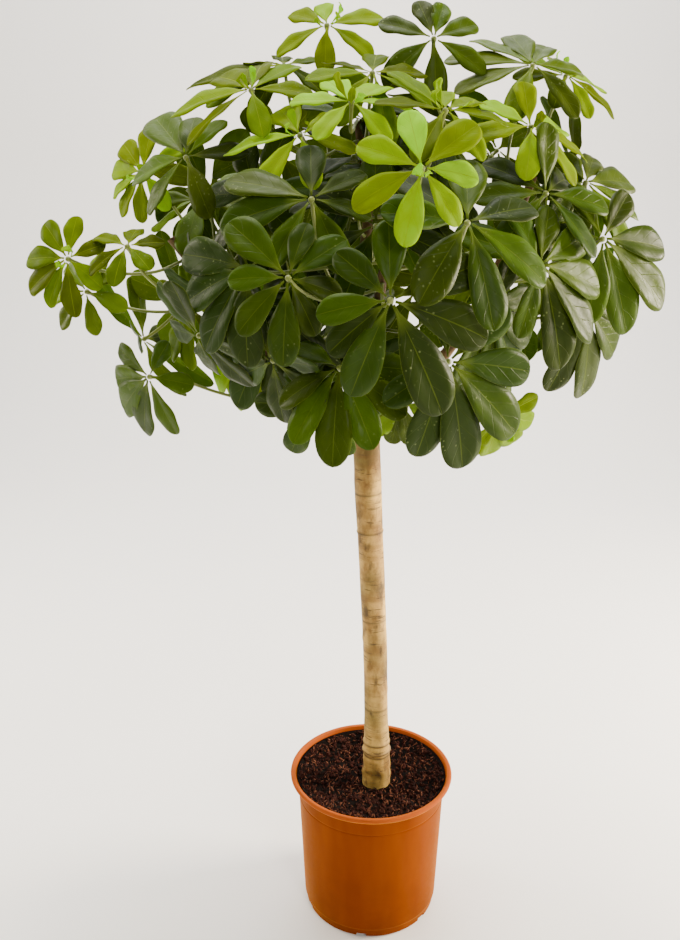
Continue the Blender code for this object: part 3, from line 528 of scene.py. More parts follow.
# Leaflet blade: half width along its length, as a share of the widest
OUTLINE = [(0.0, 0.06), (0.07, 0.07), (0.15, 0.20), (0.34, 0.62), (0.54, 0.92), (0.70, 1.0),
           (0.83, 0.90), (0.93, 0.64), (0.98, 0.34), (1.0, 0.0)]
BLADE_ROWS = 19
BLADE_COLUMNS = 6
BLADE_THICKNESS = 0.6 * MM
TIP_CROWDING = 1.5                  # the rows lie closer together towards the tip
AGE_SPREAD = 0.11                   # between the leaflets of one leaf
BUDS = 3                            # pointed new leaflets that stand up from a young leaf's hub
BUD_AGE = 0.55                      # leaves younger than this have them
BUD_REACHES = (18 * MM, 34 * MM)
BUD_TILTS = (-80, -45)              # degrees, towards the leaf's face
BUD_SLIMNESS = 0.26
SHOOT_AGE = 0.12
BLADE_FOLD = 0.46                   # how far the halves rise from the midrib
BLADE_CURL = 0.34                   # how far the margins turn down again
BLADE_ROLL = 13                     # degrees that a blade may lie turned about its midrib
WAVE_HEIGHT = 1.1 * MM              # of the margin's ripple
WAVE_TURNS = (13.0, 40.0, 1.7)      # radians along the blade, with its tone, and across it
STALK_STEPS = 4
STALK_SIDES = 10
STALK_FLARE = 0.45                  # of the radius, where the stalk leaves its branch
STALK_SWELL = 0.12                  # of the radius, towards the hub
HUB_STEPS = (-1.9, -1.2, -0.5, 0.2, 0.75, 1.0)      # along the knob, in knob radii from the hub
HUB_SHARES = (0.75, 0.95, 1.15, 1.2, 0.85, 0.3)     # of the knob's radius

# Small leaves inside the crown, spread by the golden angle over three smaller copies of its outside
INNER_LEAVES = 150
INNER_SHARES = (0.80, 0.60, 0.42)
INNER_ELEVATIONS = (-35, 80)
INNER_LEFT = -0.175                 # the outermost sprays on the left stand clear of the crown
GOLDEN_TURN = 137.5
GOLDEN_SHARE = 0.618
INNER_LEAFLETS = 7
INNER_REACH = 66

# Stem
STEM_TURNS = 56
BARE_SCARS = [0.2, 0.262, 0.375, 0.525]     # old leaf scars that don't stand out
STEM_RING_STEP = 1.4 * MM
SCAR_WIDTH = 1.3 * MM
STEM_KNEE = (0.178, 0.014)          # height and reach of the lumpy foot
STEM_SWELL = (40, 40, 14, 0.8 * MM)         # lumps in a metre each way, and how high they are
STEM_LUMPS = (95, 95, 95, 2.4 * MM)
STEM_GRAIN = (160, 160, 60, 0.25 * MM)
BRANCH_SWELL = (70, 70, 70, 0.7 * MM)
BRANCH_GRAIN = (240, 240, 240, 0.25 * MM)
KNUCKLES = [(0.285, 0.6), (0.352, 3.4), (0.470, 1.9), (0.515, 5.0)]     # height, turn in radians
KNUCKLE_REACH = 4 * MM
KNUCKLE_HEIGHT = 0.7 * MM
BRANCH_TURNS = 20
BRANCH_RING_STEP = 4 * MM

# Pot
POT_TURNS = 160
POT_HEIGHT = 177 * MM
RIM_RADIUS = 95 * MM
LIP_WIDTH = 6.4 * MM                # the lip steps back inside
LIP_ROLL = 2.6 * MM
WALL_TOP_HEIGHT = 168 * MM
WALL_FOOT_HEIGHT = 12 * MM
WALL_TOP_RADIUS = 86 * MM
WALL_FOOT_RADIUS = 79.5 * MM
FOOT_RADIUS = 76 * MM
POT_WALL = 1.6 * MM
POT_FLOOR = 2.4 * MM
BAND_HEIGHT = 149 * MM
DRAIN_HOLES = 6
DRAIN_SIZE = (12 * MM, 7 * MM, 5 * MM)
DRAIN_TURN = 0.35                   # of the way from one hole to the next
GROOVE_DEPTH = 0.55 * MM
GROOVE_WIDTH = 0.9                  # mm
GROOVE_ROWS = (3, 2, 1.4, 0.9, 0.4, 0, -0.4, -0.9, -1.4, -2, -3)        # mm from its middle

# Potting mix
SOIL_EDGE = 172.5 * MM
SOIL_RADIUS = RIM_RADIUS - LIP_WIDTH - 0.9 * MM
SOIL_MIDDLE = 161 * MM
SOIL_RINGS = 34
SOIL_TURNS = 110
SOIL_SETTLING = 9 * MM              # from the wall to where the mix lies loose
SOIL_LUMPS = [(45, 2.2 * MM, 0), (150, 1.3 * MM, 4)]    # lumps in a metre, height, layer
SOIL_GRID = 90
WALL_SPACE = 1 * MM                 # between the mix and the wall
CHIPS = {                           # how many, size, seed and slimness
    "bark_crumbs": (1500, 3.5 * MM, 4, 0.55),
    "bark_fibres": (900, 4.6 * MM, 9, 0.16),
}

# Studio: a floor that curves up behind, five lamps and the camera
FLOOR_SIDE = 3.5
FLOOR_FRONT = -3.0
SWEEP_START = 1.4
SWEEP_RADIUS = 0.8
SKY = 0.22
LAMPS = [                           # name, place, target, size, watts and colour
    ("high_softbox", (-0.6, 0.2, 2.4), (0, 0, 0.8), 1.4, 42, "#FFF1D6"),
    ("right_softbox", (1.5, 0.2, 0.8), (0, 0, 0.4), 0.6, 84, "#FFEFD6"),
    ("left_softbox", (-1.4, 0.5, 1.0), (0, 0, 0.4), 0.6, 18, "#FFF3E0"),
    ("front_softbox", (0.9, -2.2, 1.6), (0, 0, 0.85), 0.6, 34, "#FFF6EA"),
    ("sweep_light", (0, 1.1, 3.2), (0, 2.0, 0.6), 2.0, 120, "#FFFFFF"),
]
CAMERA_PLACE = (-0.0367, -1.004, 0.896)
CAMERA_DIP = 19                     # degrees below level
CAMERA_LENS = 38.3
SENSOR_WIDTH = 36.0

NODE_FAMILIES = ("ShaderNode", "GeometryNode", "FunctionNode")


# ---------------------------------------------------------------- small helpers

def linear(code, alpha=1.0):
    """An sRGB hex colour as linear values."""
    parts = [int(code[i:i + 2], 16) / 255 for i in (1, 3, 5)]
    return (*[c / 12.92 if c <= 0.04045 else ((c + 0.055) / 1.055) ** 2.4 for c in parts], alpha)


def add(tree, kind, inputs=None, **settings):
    """Adds one node: its settings first, then each input as a value or a link from another socket."""
    family = next(family for family in NODE_FAMILIES if hasattr(bpy.types, family + kind))
    made = tree.nodes.new(family + kind)
    for name, value in settings.items():
        setattr(made, name, value)
    feed(tree, made, inputs or {})
    return made


def feed(tree, node, inputs):
    """Sets a node's inputs: a value stays on the socket, and a node or a socket is linked to it."""
    for key, value in inputs.items():
        if isinstance(value, bpy.types.Node):
            value = value.outputs[0]
        if isinstance(value, bpy.types.NodeSocket):
            tree.links.new(value, node.inputs[key])
        else:
            node.inputs[key].default_value = value


def new_object(name, data, materials=()):
    item = bpy.data.objects.new(name, data)
    bpy.context.scene.collection.objects.link(item)
    for material in materials:
        data.materials.append(material)
    return item


def mesh_of(work, name):
    """A mesh from the working faces, which are then let go."""
    mesh = bpy.data.meshes.new(name)
    work.to_mesh(mesh)
    work.free()
    return mesh


def smoothed(mesh, sharpest):
    """Shaded smooth, but for edges that turn by more degrees than this."""
    mesh.shade_smooth()
    mesh.set_sharp_from_angle(angle=math.radians(sharpest))
    return mesh


def baked(item, name):
    """The object's evaluated mesh, and the object itself removed."""
    bpy.context.view_layer.update()
    graph = bpy.context.evaluated_depsgraph_get()
    mesh = bpy.data.meshes.new_from_object(item.evaluated_get(graph), preserve_all_data_layers=True,
                                           depsgraph=graph)
    mesh.name = name
    if None in list(mesh.materials):
        mesh.materials.pop(index=list(mesh.materials).index(None))
    bpy.data.objects.remove(item)
    return mesh


def joined(name, meshes):
    """Several meshes as one object, each with its own materials and attributes."""
    items = [new_object(f"{name}_{i}", mesh) for i, mesh in enumerate(meshes)]
    bpy.ops.object.select_all(action="DESELECT")
    for item in items:
        item.select_set(True)
    bpy.context.view_layer.objects.active = items[0]
    bpy.ops.object.join()
    whole = items[0]
    whole.name = name
    whole.data.name = name
    return whole


def with_nodes(item, tree, values):
    """Puts a node group on an object and sets its named inputs by their identifiers."""
    modifier = item.modifiers.new(tree.name, "NODES")
    modifier.node_group = tree
    for socket in tree.interface.items_tree:
        if socket.item_type == "SOCKET" and socket.in_out == "INPUT" and socket.name in values:
            modifier[socket.identifier] = values[socket.name]
    return modifier


def new_tree(name, sockets):
    """A geometry node group with a Geometry socket each way and the named inputs."""
    tree = bpy.data.node_groups.new(name, "GeometryNodeTree")
    for label, kind in [("Geometry", "Geometry")] + sockets:
        tree.interface.new_socket(label, in_out="INPUT", socket_type="NodeSocket" + kind)
    tree.interface.new_socket("Geometry", in_out="OUTPUT", socket_type="NodeSocketGeometry")
    return tree, tree.nodes.new("NodeGroupInput").outputs, tree.nodes.new("NodeGroupOutput")


def finish_piece(piece, slot, *nodes):
    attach(piece, "root")
    if nodes:
        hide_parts(*nodes)


# ---------------------------------------------------------------- materials

def new_material(name):
    material = bpy.data.materials.new(name)
    material.use_nodes = True
    tree = material.node_tree
    return material, tree, tree.nodes["Principled BSDF"]


def leaf_skin(name, ages, vein, rib_strength, roughness, gloss, glow):
    """Waxy leaf cuticle over green flesh, whose colour follows the leaf's age.

    It has a pale midrib, faint side veins, a pale hairline margin and light that comes through.
    """
    material, tree, shader = new_material(name)
    split = add(tree, "SeparateXYZ", {0: add(tree, "UVMap", uv_map="UVMap")})
    across = add(tree, "Math", {0: split.outputs[1], 1: 0.5}, operation="SUBTRACT")
    across = add(tree, "Math", {0: across}, operation="ABSOLUTE")
    place = add(tree, "TexCoord").outputs["Object"]

    # flesh: the leaf's age, patches about 25 mm across, and each leaflet's own tone
    patches = add(tree, "TexNoise", {"Vector": place, "Scale": 38.0, "Detail": 3.0})
    age = add(tree, "Attribute", attribute_name="age")
    depth = add(tree, "Math", {0: patches.outputs["Fac"], 1: 0.30, 2: -0.15}, operation="MULTIPLY_ADD")
    depth = add(tree, "Math", {0: depth, 1: age.outputs["Fac"]}, operation="ADD")
    ramp = add(tree, "ValToRGB", {0: depth})
    stops = ramp.color_ramp.elements
    stops[0].color, stops[1].color = linear(ages[0][1]), linear(ages[-1][1])
    for position, colour in ages[1:-1]:
        stops.new(position).color = linear(colour)
    tone = add(tree, "Attribute", attribute_name="tone")
    value = add(tree, "MapRange", {"Value": tone.outputs["Fac"], "To Min": 0.62, "To Max": 1.38})
    hue = add(tree, "MapRange", {"Value": tone.outputs["Fac"], "To Min": 0.485, "To Max": 0.51})
    colour = add(tree, "HueSaturation", {"Hue": hue, "Value": value, "Color": ramp.outputs[0]})

    # side veins: about six pairs, leaving the midrib at a slant
    slant = add(tree, "Math", {0: across, 1: -0.55, 2: split.outputs[0]}, operation="MULTIPLY_ADD")
    beat = add(tree, "Math", {0: slant, 1: 11.0}, operation="MULTIPLY")
    beat = add(tree, "Math", {0: beat, 1: 1.0}, operation="PINGPONG")
    side_vein = add(tree, "MapRange", {"Value": beat, "From Min": 0.10, "From Max": 0.0},
                    interpolation_type="SMOOTHSTEP")
    faint = add(tree, "Math", {0: side_vein, 1: 0.10}, operation="MULTIPLY")

    # dried water marks: pale spots 1 to 2 mm across, on one patch of the crown and not on the next
    marks = add(tree, "TexVoronoi", {"Vector": place, "Scale": 190.0})
    marks = add(tree, "MapRange", {"Value": marks.outputs["Distance"], "From Min": 0.22, "From Max": 0.12,
                                   "To Max": 0.45})
    splash = add(tree, "TexNoise", {"Vector": place, "Scale": 21.0, "Detail": 2.0})
    splash = add(tree, "MapRange", {"Value": splash.outputs["Fac"], "From Min": 0.52, "From Max": 0.62})
    marks = add(tree, "Math", {0: marks, 1: splash}, operation="MULTIPLY")
    colour = add(tree, "Mix", {0: marks, 6: colour, 7: linear("#8C9A5C")}, data_type="RGBA").outputs[2]

    # midrib: about 1 mm each way on a 40 mm blade; the pale margin, and the stalk at the blade's foot
    rib = add(tree, "MapRange", {"Value": across, "From Min": 0.022, "From Max": 0.006,
                                 "To Max": rib_strength}, interpolation_type="SMOOTHSTEP")
    rim = add(tree, "MapRange", {"Value": across, "From Min": 0.478, "From Max": 0.5, "To Max": 0.42})
    stalk = add(tree, "MapRange", {"Value": split.outputs[0], "From Min": 0.26, "From Max": 0.10,
                                   "To Max": 0.55})
    line = add(tree, "Math", {0: rib, 1: rim}, operation="MAXIMUM")
    line = add(tree, "Math", {0: line, 1: stalk}, operation="MAXIMUM")
    line = add(tree, "Math", {0: line, 1: faint}, operation="MAXIMUM")
    colour = add(tree, "Mix", {0: line, 6: colour, 7: linear(vein)}, data_type="RGBA").outputs[2]

    # gloss: wax is uneven over a few millimetres
    film = add(tree, "TexNoise", {"Vector": place, "Scale": 120.0, "Detail": 2.0})
    rough = add(tree, "MapRange", {"Value": film.outputs["Fac"], "From Min": 0.3, "From Max": 0.7,
                                   "To Min": roughness - 0.06, "To Max": roughness + 0.08})

    # the flesh swells between the veins by a fraction of a millimetre
    swell = add(tree, "Math", {0: side_vein, 1: rib}, operation="MAXIMUM")
    height = add(tree, "Math", {0: swell, 1: -1.0, 2: film.outputs["Fac"]}, operation="MULTIPLY_ADD")
    bump = add(tree, "Bump", {"Strength": 0.4, "Distance": 0.6 * MM, "Height": height})
    feed(tree, shader, {"Base Color": colour, "Roughness": rough, "IOR": 1.42, "Specular IOR Level": gloss,
                        "Normal": bump})

    # light through the blade
    through = add(tree, "BsdfTranslucent", {"Color": colour, "Normal": bump})
    both = add(tree, "MixShader", {0: glow, 1: shader, 2: through})
    feed(tree, tree.nodes["Material Output"], {"Surface": both})
    return material


def stalk_skin():
    """Petiole: a smooth green stalk, paler and yellower in places."""
    material, tree, shader = new_material("petiole_skin")
    place = add(tree, "TexCoord").outputs["Object"]
    patches = add(tree, "TexNoise", {"Vector": place, "Scale": 30.0, "Detail": 2.0})
    colour = add(tree, "Mix", {0: patches.outputs["Fac"], 6: linear("#3C5212"), 7: linear("#8A9438")},
                 data_type="RGBA").outputs[2]
    grain = add(tree, "TexNoise", {"Vector": place, "Scale": 700.0})
    bump = add(tree, "Bump", {"Strength": 0.2, "Distance": 0.3 * MM, "Height": grain.outputs["Fac"]})
    feed(tree, shader, {"Base Color": colour, "Roughness": 0.42, "Normal": bump})
    return material


def bark(name, pale, tan, dark, green):
    """Young smooth bark: pale, mottled over a few centimetres and greenish where it is thin.

    It has fine lines round the stem, dark blotches and darker old scars.
    """
    material, tree, shader = new_material(name)
    place = add(tree, "TexCoord").outputs["Object"]
    wide = add(tree, "Mapping", {"Vector": place, "Scale": (1.0, 1.0, 0.55)})
    patches = add(tree, "TexNoise", {"Vector": wide, "Scale": 42.0, "Detail": 5.0, "Roughness": 0.6})
    mottle = add(tree, "MapRange", {"Value": patches.outputs["Fac"], "From Min": 0.36, "From Max": 0.66})
    colour = add(tree, "Mix", {0: mottle, 6: linear(tan), 7: linear(pale)}, data_type="RGBA")
    cast = add(tree, "TexNoise", {"Vector": place, "Scale": 14.0, "Detail": 2.0})
    cast = add(tree, "MapRange", {"Value": cast.outputs["Fac"], "From Min": 0.48, "From Max": 0.7,
                                  "To Max": 0.8})
    colour = add(tree, "Mix", {0: cast, 6: colour.outputs[2], 7: linear(green)}, data_type="RGBA")

    # bands round the stem, one to two centimetres apart
    banded = add(tree, "Mapping", {"Vector": place, "Scale": (1.0, 1.0, 6.0)})
    bands = add(tree, "TexNoise", {"Vector": banded, "Scale": 13.0, "Detail": 3.0})
    bands = add(tree, "MapRange", {"Value": bands.outputs["Fac"], "From Min": 0.52, "From Max": 0.64,
                                   "To Max": 0.5})
    colour = add(tree, "Mix", {0: bands, 6: colour.outputs[2], 7: linear(tan)}, data_type="RGBA")

    # fine lines round the stem, about 3 mm apart, broken up
    flat = add(tree, "Mapping", {"Vector": place, "Scale": (1.0, 1.0, 9.0)})
    lines = add(tree, "TexNoise", {"Vector": flat, "Scale": 46.0, "Detail": 4.0, "Roughness": 0.65})
    crack = add(tree, "MapRange", {"Value": lines.outputs["Fac"], "From Min": 0.42, "From Max": 0.34})
    blotch = add(tree, "TexNoise", {"Vector": wide, "Scale": 75.0, "Detail": 4.0})
    blotch = add(tree, "MapRange", {"Value": blotch.outputs["Fac"], "From Min": 0.57, "From Max": 0.68})
    scar = add(tree, "Attribute", attribute_name="scar")
    stain = add(tree, "Math", {0: crack, 1: blotch}, operation="MAXIMUM")
    stain = add(tree, "Math", {0: stain, 1: 0.7}, operation="MULTIPLY")
    stain = add(tree, "Math", {0: stain, 1: scar.outputs["Fac"]}, operation="MAXIMUM")
    colour = add(tree, "Mix", {0: stain, 6: colour.outputs[2], 7: linear(dark)}, data_type="RGBA")

    # grain that the eye sees as a dull, slightly rough skin
    grain = add(tree, "TexNoise", {"Vector": flat, "Scale": 160.0, "Detail": 4.0})
    height = add(tree, "Math", {0: crack, 1: -0.8, 2: grain.outputs["Fac"]}, operation="MULTIPLY_ADD")
    bump = add(tree, "Bump", {"Strength": 0.6, "Distance": 0.8 * MM, "Height": height})
    feed(tree, shader, {"Base Color": colour.outputs[2], "Roughness": 0.72, "Normal": bump})
    return material


def pot_plastic():
    """Injection-moulded polypropylene: an even orange with a satin skin that glows at a glance.

    It has faint flow streaks, fine scuffs, a painted highlight that pales the lip, and patches that darken
    it towards the foot.
    """
    material, tree, shader = new_material("moulded_polypropylene")
    place = add(tree, "TexCoord").outputs["Object"]
    tall = add(tree, "Mapping", {"Vector": place, "Scale": (1.0, 1.0, 0.22)})
    streaks = add(tree, "TexNoise", {"Vector": tall, "Scale": 30.0, "Detail": 3.0})
    tint = add(tree, "MapRange", {"Value": streaks.outputs["Fac"], "From Min": 0.35, "From Max": 0.65})
    colour = add(tree, "Mix", {0: tint, 6: linear("#722E00"), 7: linear("#803A02")}, data_type="RGBA")
    # darker towards the bottom: noisy blotches mixed towards a deeper orange-brown, strongest at the foot
    foot_blotches = add(tree, "TexNoise", {"Vector": place, "Scale": 22.0, "Detail": 6.0, "Roughness": 0.7})
    height = add(tree, "SeparateXYZ", {0: place})
    low = add(tree, "MapRange", {"Value": height.outputs[2], "From Min": 0.13, "From Max": 0.0,
                                 "To Max": 0.7})
    darker_foot = add(tree, "MapRange", {"Value": foot_blotches.outputs["Fac"], "From Min": 0.25, "From Max": 0.65})
    darker_foot = add(tree, "Math", {0: darker_foot, 1: low}, operation="MULTIPLY")
    colour = add(tree, "Mix", {0: darker_foot, 6: colour.outputs[2], 7: linear("#5C2400")}, data_type="RGBA")
    # painted highlight: the top of the lip is mixed towards a paler orange, for light along the rim and a
    # slightly dusty surface
    lip = add(tree, "MapRange", {"Value": height.outputs[2], "From Min": POT_HEIGHT - 7 * MM,
                                 "From Max": POT_HEIGHT - 3 * MM,
                                 "To Max": 0.55})
    colour = add(tree, "Mix", {0: lip, 6: colour.outputs[2], 7: linear("#BC5C26")}, data_type="RGBA")
    scuff = add(tree, "TexNoise", {"Vector": place, "Scale": 190.0, "Detail": 4.0, "Roughness": 0.7})
    rough = add(tree, "MapRange", {"Value": scuff.outputs["Fac"], "From Min": 0.3, "From Max": 0.7,
                                   "To Min": 0.44, "To Max": 0.58})
    bump = add(tree, "Bump", {"Strength": 0.12, "Distance": 0.4 * MM, "Height": scuff.outputs["Fac"]})
    feed(tree, shader, {"Base Color": colour.outputs[2], "Roughness": rough, "IOR": 1.49,
                        "Specular IOR Level": 0.02, "Normal": bump, "Sheen Weight": 0.5,
                        "Sheen Roughness": 0.35, "Sheen Tint": linear("#FFA81C")})
    return material


def peat(name, dark, light, speck):
    """Damp peat and bark: near black, with reddish fibres and a few pale specks, partly grit and partly
    painted highlights of wet glints.
    """
    material, tree, shader = new_material(name)
    place = add(tree, "TexCoord").outputs["Object"]
    crumbs = add(tree, "TexNoise", {"Vector": place, "Scale": 160.0, "Detail": 5.0, "Roughness": 0.7})
    mixed = add(tree, "MapRange", {"Value": crumbs.outputs["Fac"], "From Min": 0.35, "From Max": 0.7})
    colour = add(tree, "Mix", {0: mixed, 6: linear(dark), 7: linear(light)}, data_type="RGBA")
    # pale specks: grit, and painted highlights that stand in for glints on wet crumbs
    grit_and_glints = add(tree, "TexVoronoi", {"Vector": place, "Scale": 260.0})
    grit_and_glints = add(tree, "MapRange", {"Value": grit_and_glints.outputs["Distance"], "From Min": 0.12, "From Max": 0.06})
    grit_and_glints = add(tree, "Math", {0: grit_and_glints, 1: 0.5}, operation="MULTIPLY")
    colour = add(tree, "Mix", {0: grit_and_glints, 6: colour.outputs[2], 7: linear(speck)}, data_type="RGBA")
    bump = add(tree, "Bump", {"Strength": 0.9, "Distance": 2 * MM, "Height": crumbs.outputs["Fac"]})
    feed(tree, shader, {"Base Color": colour.outputs[2], "Roughness": 0.9, "Specular IOR Level": 0.08,
                        "Normal": bump})
    return material


# ---------------------------------------------------------------- leaves

def blade_tree():
    """Geometry nodes: one blade for each point, bent along its own way out from the hub."""
    tree, given, result = new_tree("leaflet_blades", [
        ("Hub radius", "Float"), ("Fold", "Float"), ("Curl", "Float"), ("Ripple", "Float"),
        ("Thickness", "Float"), ("Rows", "Int"), ("Columns", "Int"), ("Upper skin", "Material"),
        ("Under skin", "Material")])

    # a flat sheet that knows how far along and across each of its points lies
    sheet = add(tree, "MeshGrid", {"Size X": 1.0, "Size Y": 1.0, "Vertices X": given["Rows"],
                                   "Vertices Y": given["Columns"]})
    split = add(tree, "SeparateXYZ", {0: add(tree, "InputPosition")})
    back = add(tree, "Math", {0: 0.5, 1: split.outputs[0]}, operation="SUBTRACT")
    back = add(tree, "Math", {0: back, 1: TIP_CROWDING}, operation="POWER")
    along = add(tree, "Math", {0: 1.0, 1: back}, operation="SUBTRACT")
    across = add(tree, "Math", {0: split.outputs[1], 1: 2.0}, operation="MULTIPLY")
    half = add(tree, "Math", {0: across, 1: 0.5, 2: 0.5}, operation="MULTIPLY_ADD")
    chart = add(tree, "CombineXYZ", {0: along, 1: half})
    for label, value, kind, domain in (("along", along, "FLOAT", "POINT"),
                                       ("across", across, "FLOAT", "POINT"),
                                       ("UVMap", chart, "FLOAT2", "CORNER")):
        sheet = add(tree, "StoreNamedAttribute", {"Geometry": sheet, "Name": label, "Value": value},
                    data_type=kind, domain=domain)
    spread = add(tree, "InstanceOnPoints", {"Points": given["Geometry"], "Instance": sheet})
    sheets = add(tree, "RealizeInstances", {0: spread})

    # what each blade's own point carries, its outline, and the way across it
    known = {socket.name: socket for socket in given}
    for kind, labels in (("FLOAT", ("along", "across", "reach", "tilt", "sag", "width", "tone", "roll")),
                         ("FLOAT_VECTOR", ("hub", "out", "face"))):
        for label in labels:
            known[label] = add(tree, "InputNamedAttribute", {"Name": label}, data_type=kind).outputs[0]
    outline = add(tree, "FloatCurve", {"Value": known["along"]})
    curve = outline.mapping.curves[0]
    for x, y in OUTLINE[1:-1]:
        curve.points.new(x, y)
    curve.points[0].location = OUTLINE[0]
    curve.points[-1].location = OUTLINE[-1]
    outline.mapping.update()
    known["outline"] = outline
    side = add(tree, "VectorMath", {0: known["face"], 1: known["out"]}, operation="CROSS_PRODUCT")
    known["side"] = add(tree, "VectorRotate", {"Vector": side, "Axis": known["out"],
                                               "Angle": known["roll"]}, rotation_type="AXIS_ANGLE")

    # each step: a name, the kind of node, what it does, and its terms by name or number
    for label, kind, operation, *terms in (
            # the middle line: straight out, tilted back, then sagging towards the tip
            ("blade", "Math", "SUBTRACT", "reach", "Hub radius"),
            ("run", "Math", "MULTIPLY", "blade", "along"),
            ("distance", "Math", "ADD", "run", "Hub radius"),
            ("lean", "Math", "MULTIPLY", "tilt", "along"),
            ("level", "Math", "COSINE", "lean"),
            ("forward", "Math", "MULTIPLY", "distance", "level"),
            ("squared", "Math", "POWER", "along", 2.0),
            ("sagged", "Math", "MULTIPLY", "sag", "squared"),
            ("half sag", "Math", "MULTIPLY", "sagged", 0.5),
            ("sine", "Math", "SINE", "tilt"),
            ("cosine", "Math", "COSINE", "tilt"),
            ("back", "Math", "MULTIPLY_ADD", "run", "sine", "half sag"),
            ("back", "Math", "MULTIPLY", "back", -1.0),
            ("fall", "Math", "MULTIPLY", "half sag", -1.0),
            ("ahead", "VectorMath", "SCALE", "out", "forward"),
            ("behind", "VectorMath", "SCALE", "face", "back"),
            ("below", "VectorMath", "SCALE", (0, 0, 1), "fall"),
            ("middle", "VectorMath", "ADD", "hub", "ahead"),
            ("middle", "VectorMath", "ADD", "middle", "behind"),
            ("middle", "VectorMath", "ADD", "middle", "below"),

            # the halves: folded up from the midrib, curled down again and rippled
            ("full width", "Math", "MULTIPLY", "width", "outline"),
            ("half width", "Math", "MULTIPLY", "full width", 0.5),
            ("sideways", "Math", "MULTIPLY", "half width", "across"),
            ("from rib", "Math", "ABSOLUTE", "across"),
            ("raised", "Math", "MULTIPLY", "from rib", "Fold"),
            ("lowered", "Math", "MULTIPLY", "across", "across"),
            ("lowered", "Math", "MULTIPLY", "lowered", "Curl"),
            ("bow", "Math", "SUBTRACT", "raised", "lowered"),
            ("bow", "Math", "MULTIPLY", "bow", "half width"),
            ("phase", "Math", "MULTIPLY", "along", WAVE_TURNS[0]),
            ("phase", "Math", "MULTIPLY_ADD", "tone", WAVE_TURNS[1], "phase"),
            ("phase", "Math", "MULTIPLY_ADD", "across", WAVE_TURNS[2], "phase"),
            ("wave", "Math", "SINE", "phase"),
            ("wave", "Math", "MULTIPLY", "wave", "from rib"),
            ("wave", "Math", "MULTIPLY", "wave", "outline"),
            ("lift", "Math", "MULTIPLY_ADD", "wave", "Ripple", "bow"),
            ("side", "VectorMath", "SCALE", "side", "sideways"),
            ("up", "VectorMath", "SCALE", "face", "cosine"),
            ("tipped", "VectorMath", "SCALE", "out", "sine"),
            ("up", "VectorMath", "ADD", "up", "tipped"),
            ("up", "VectorMath", "SCALE", "up", "lift"),
            ("place", "VectorMath", "ADD", "middle", "side"),
            ("place", "VectorMath", "ADD", "place", "up")):
        keys = (0, "Scale") if operation == "SCALE" else range(3)
        known[label] = add(tree, kind, {key: known.get(term, term) for key, term in zip(keys, terms)},
                           operation=operation)
    bent = add(tree, "SetPosition", {"Geometry": sheets, "Position": known["place"]})

    # thickness: an upper skin drawn out of the sheet, and the sheet itself turned over as the under skin
    upper = add(tree, "ExtrudeMesh", {"Mesh": bent, "Offset Scale": given["Thickness"],
                                      "Individual": False})
    upper_skin = add(tree, "SetMaterial", {"Geometry": upper, "Material": given["Upper skin"]})
    under = add(tree, "FlipFaces", {"Mesh": bent})
    under_skin = add(tree, "SetMaterial", {"Geometry": under, "Material": given["Under skin"]})
    both = add(tree, "JoinGeometry", {0: upper_skin})
    feed(tree, both, {0: under_skin})
    whole = add(tree, "MergeByDistance", {"Geometry": both, "Distance": MERGE_DISTANCE})
    feed(tree, result, {0: add(tree, "SetShadeSmooth", {"Geometry": whole, "Shade Smooth": True})})
    return tree


def stalk_tree():
    """Geometry nodes: a round skin along each curve, as thick as the curve's own radius."""
    tree, given, result = new_tree("stalk_skins", [("Sides", "Int"), ("Skin", "Material")])
    ring = add(tree, "CurvePrimitiveCircle", {"Resolution": given["Sides"], "Radius": 1.0})
    skin = add(tree, "CurveToMesh", {"Curve": given["Geometry"], "Profile Curve": ring,
                                     "Scale": add(tree, "InputRadius"), "Fill Caps": True})
    smooth = add(tree, "SetShadeSmooth", {"Geometry": skin, "Shade Smooth": True})
    feed(tree, result, {0: add(tree, "SetMaterial", {"Geometry": smooth, "Material": given["Skin"]})})
    return tree


def blades_mesh(name, leaves, tree, upper, under):
    """Every leaflet of one piece, from points that carry each leaflet's own way, reach and tone."""
    draw = random.Random(name)
    rows = []
    for hub, looks, age, leaflets in leaves:
        rows += [(hub, looks, age, leaflet, leaflet_width(leaflet.reach)) for leaflet in leaflets]
        for _ in range(BUDS if age > BUD_AGE else 0):
            reach, tilt = draw.uniform(*BUD_REACHES), math.radians(draw.uniform(*BUD_TILTS))
            bud = Leaflet(None, None, draw.uniform(0, 360), tilt, reach)
            rows.append((hub, looks, 1.0, bud, reach * BUD_SLIMNESS))
    mesh = bpy.data.meshes.new(name)
    mesh.from_pydata([row[0] for row in rows], [], [])
    carried = []
    for hub, (face, up, right), age, leaflet, width in rows:
        turn = math.radians(leaflet.clock)
        carried.append({
            "hub": hub, "out": up * math.cos(turn) + right * math.sin(turn), "face": face,
            "reach": leaflet.reach, "tilt": leaflet.tilt, "width": width,
            "sag": leaflet.reach * between(LEAFLET_SAGS, leaflet.clock), "tone": draw.random(),
            "roll": math.radians(draw.uniform(-BLADE_ROLL, BLADE_ROLL)),
            "age": age + draw.uniform(-AGE_SPREAD, AGE_SPREAD)})
    for label in carried[0]:
        values = [row[label] for row in carried]
        vector = isinstance(values[0], Vector)
        store = mesh.attributes.new(label, "FLOAT_VECTOR" if vector else "FLOAT", "POINT")
        flat = [c for v in values for c in v] if vector else values
        store.data.foreach_set("vector" if vector else "value", flat)
    points = new_object(name, mesh)
    with_nodes(points, tree, {
        "Hub radius": HUB_RADIUS, "Fold": BLADE_FOLD, "Curl": BLADE_CURL, "Ripple": WAVE_HEIGHT,
        "Thickness": BLADE_THICKNESS, "Rows": BLADE_ROWS, "Columns": BLADE_COLUMNS + 1,
        "Upper skin": upper, "Under skin": under})
    return baked(points, name + "_blades")


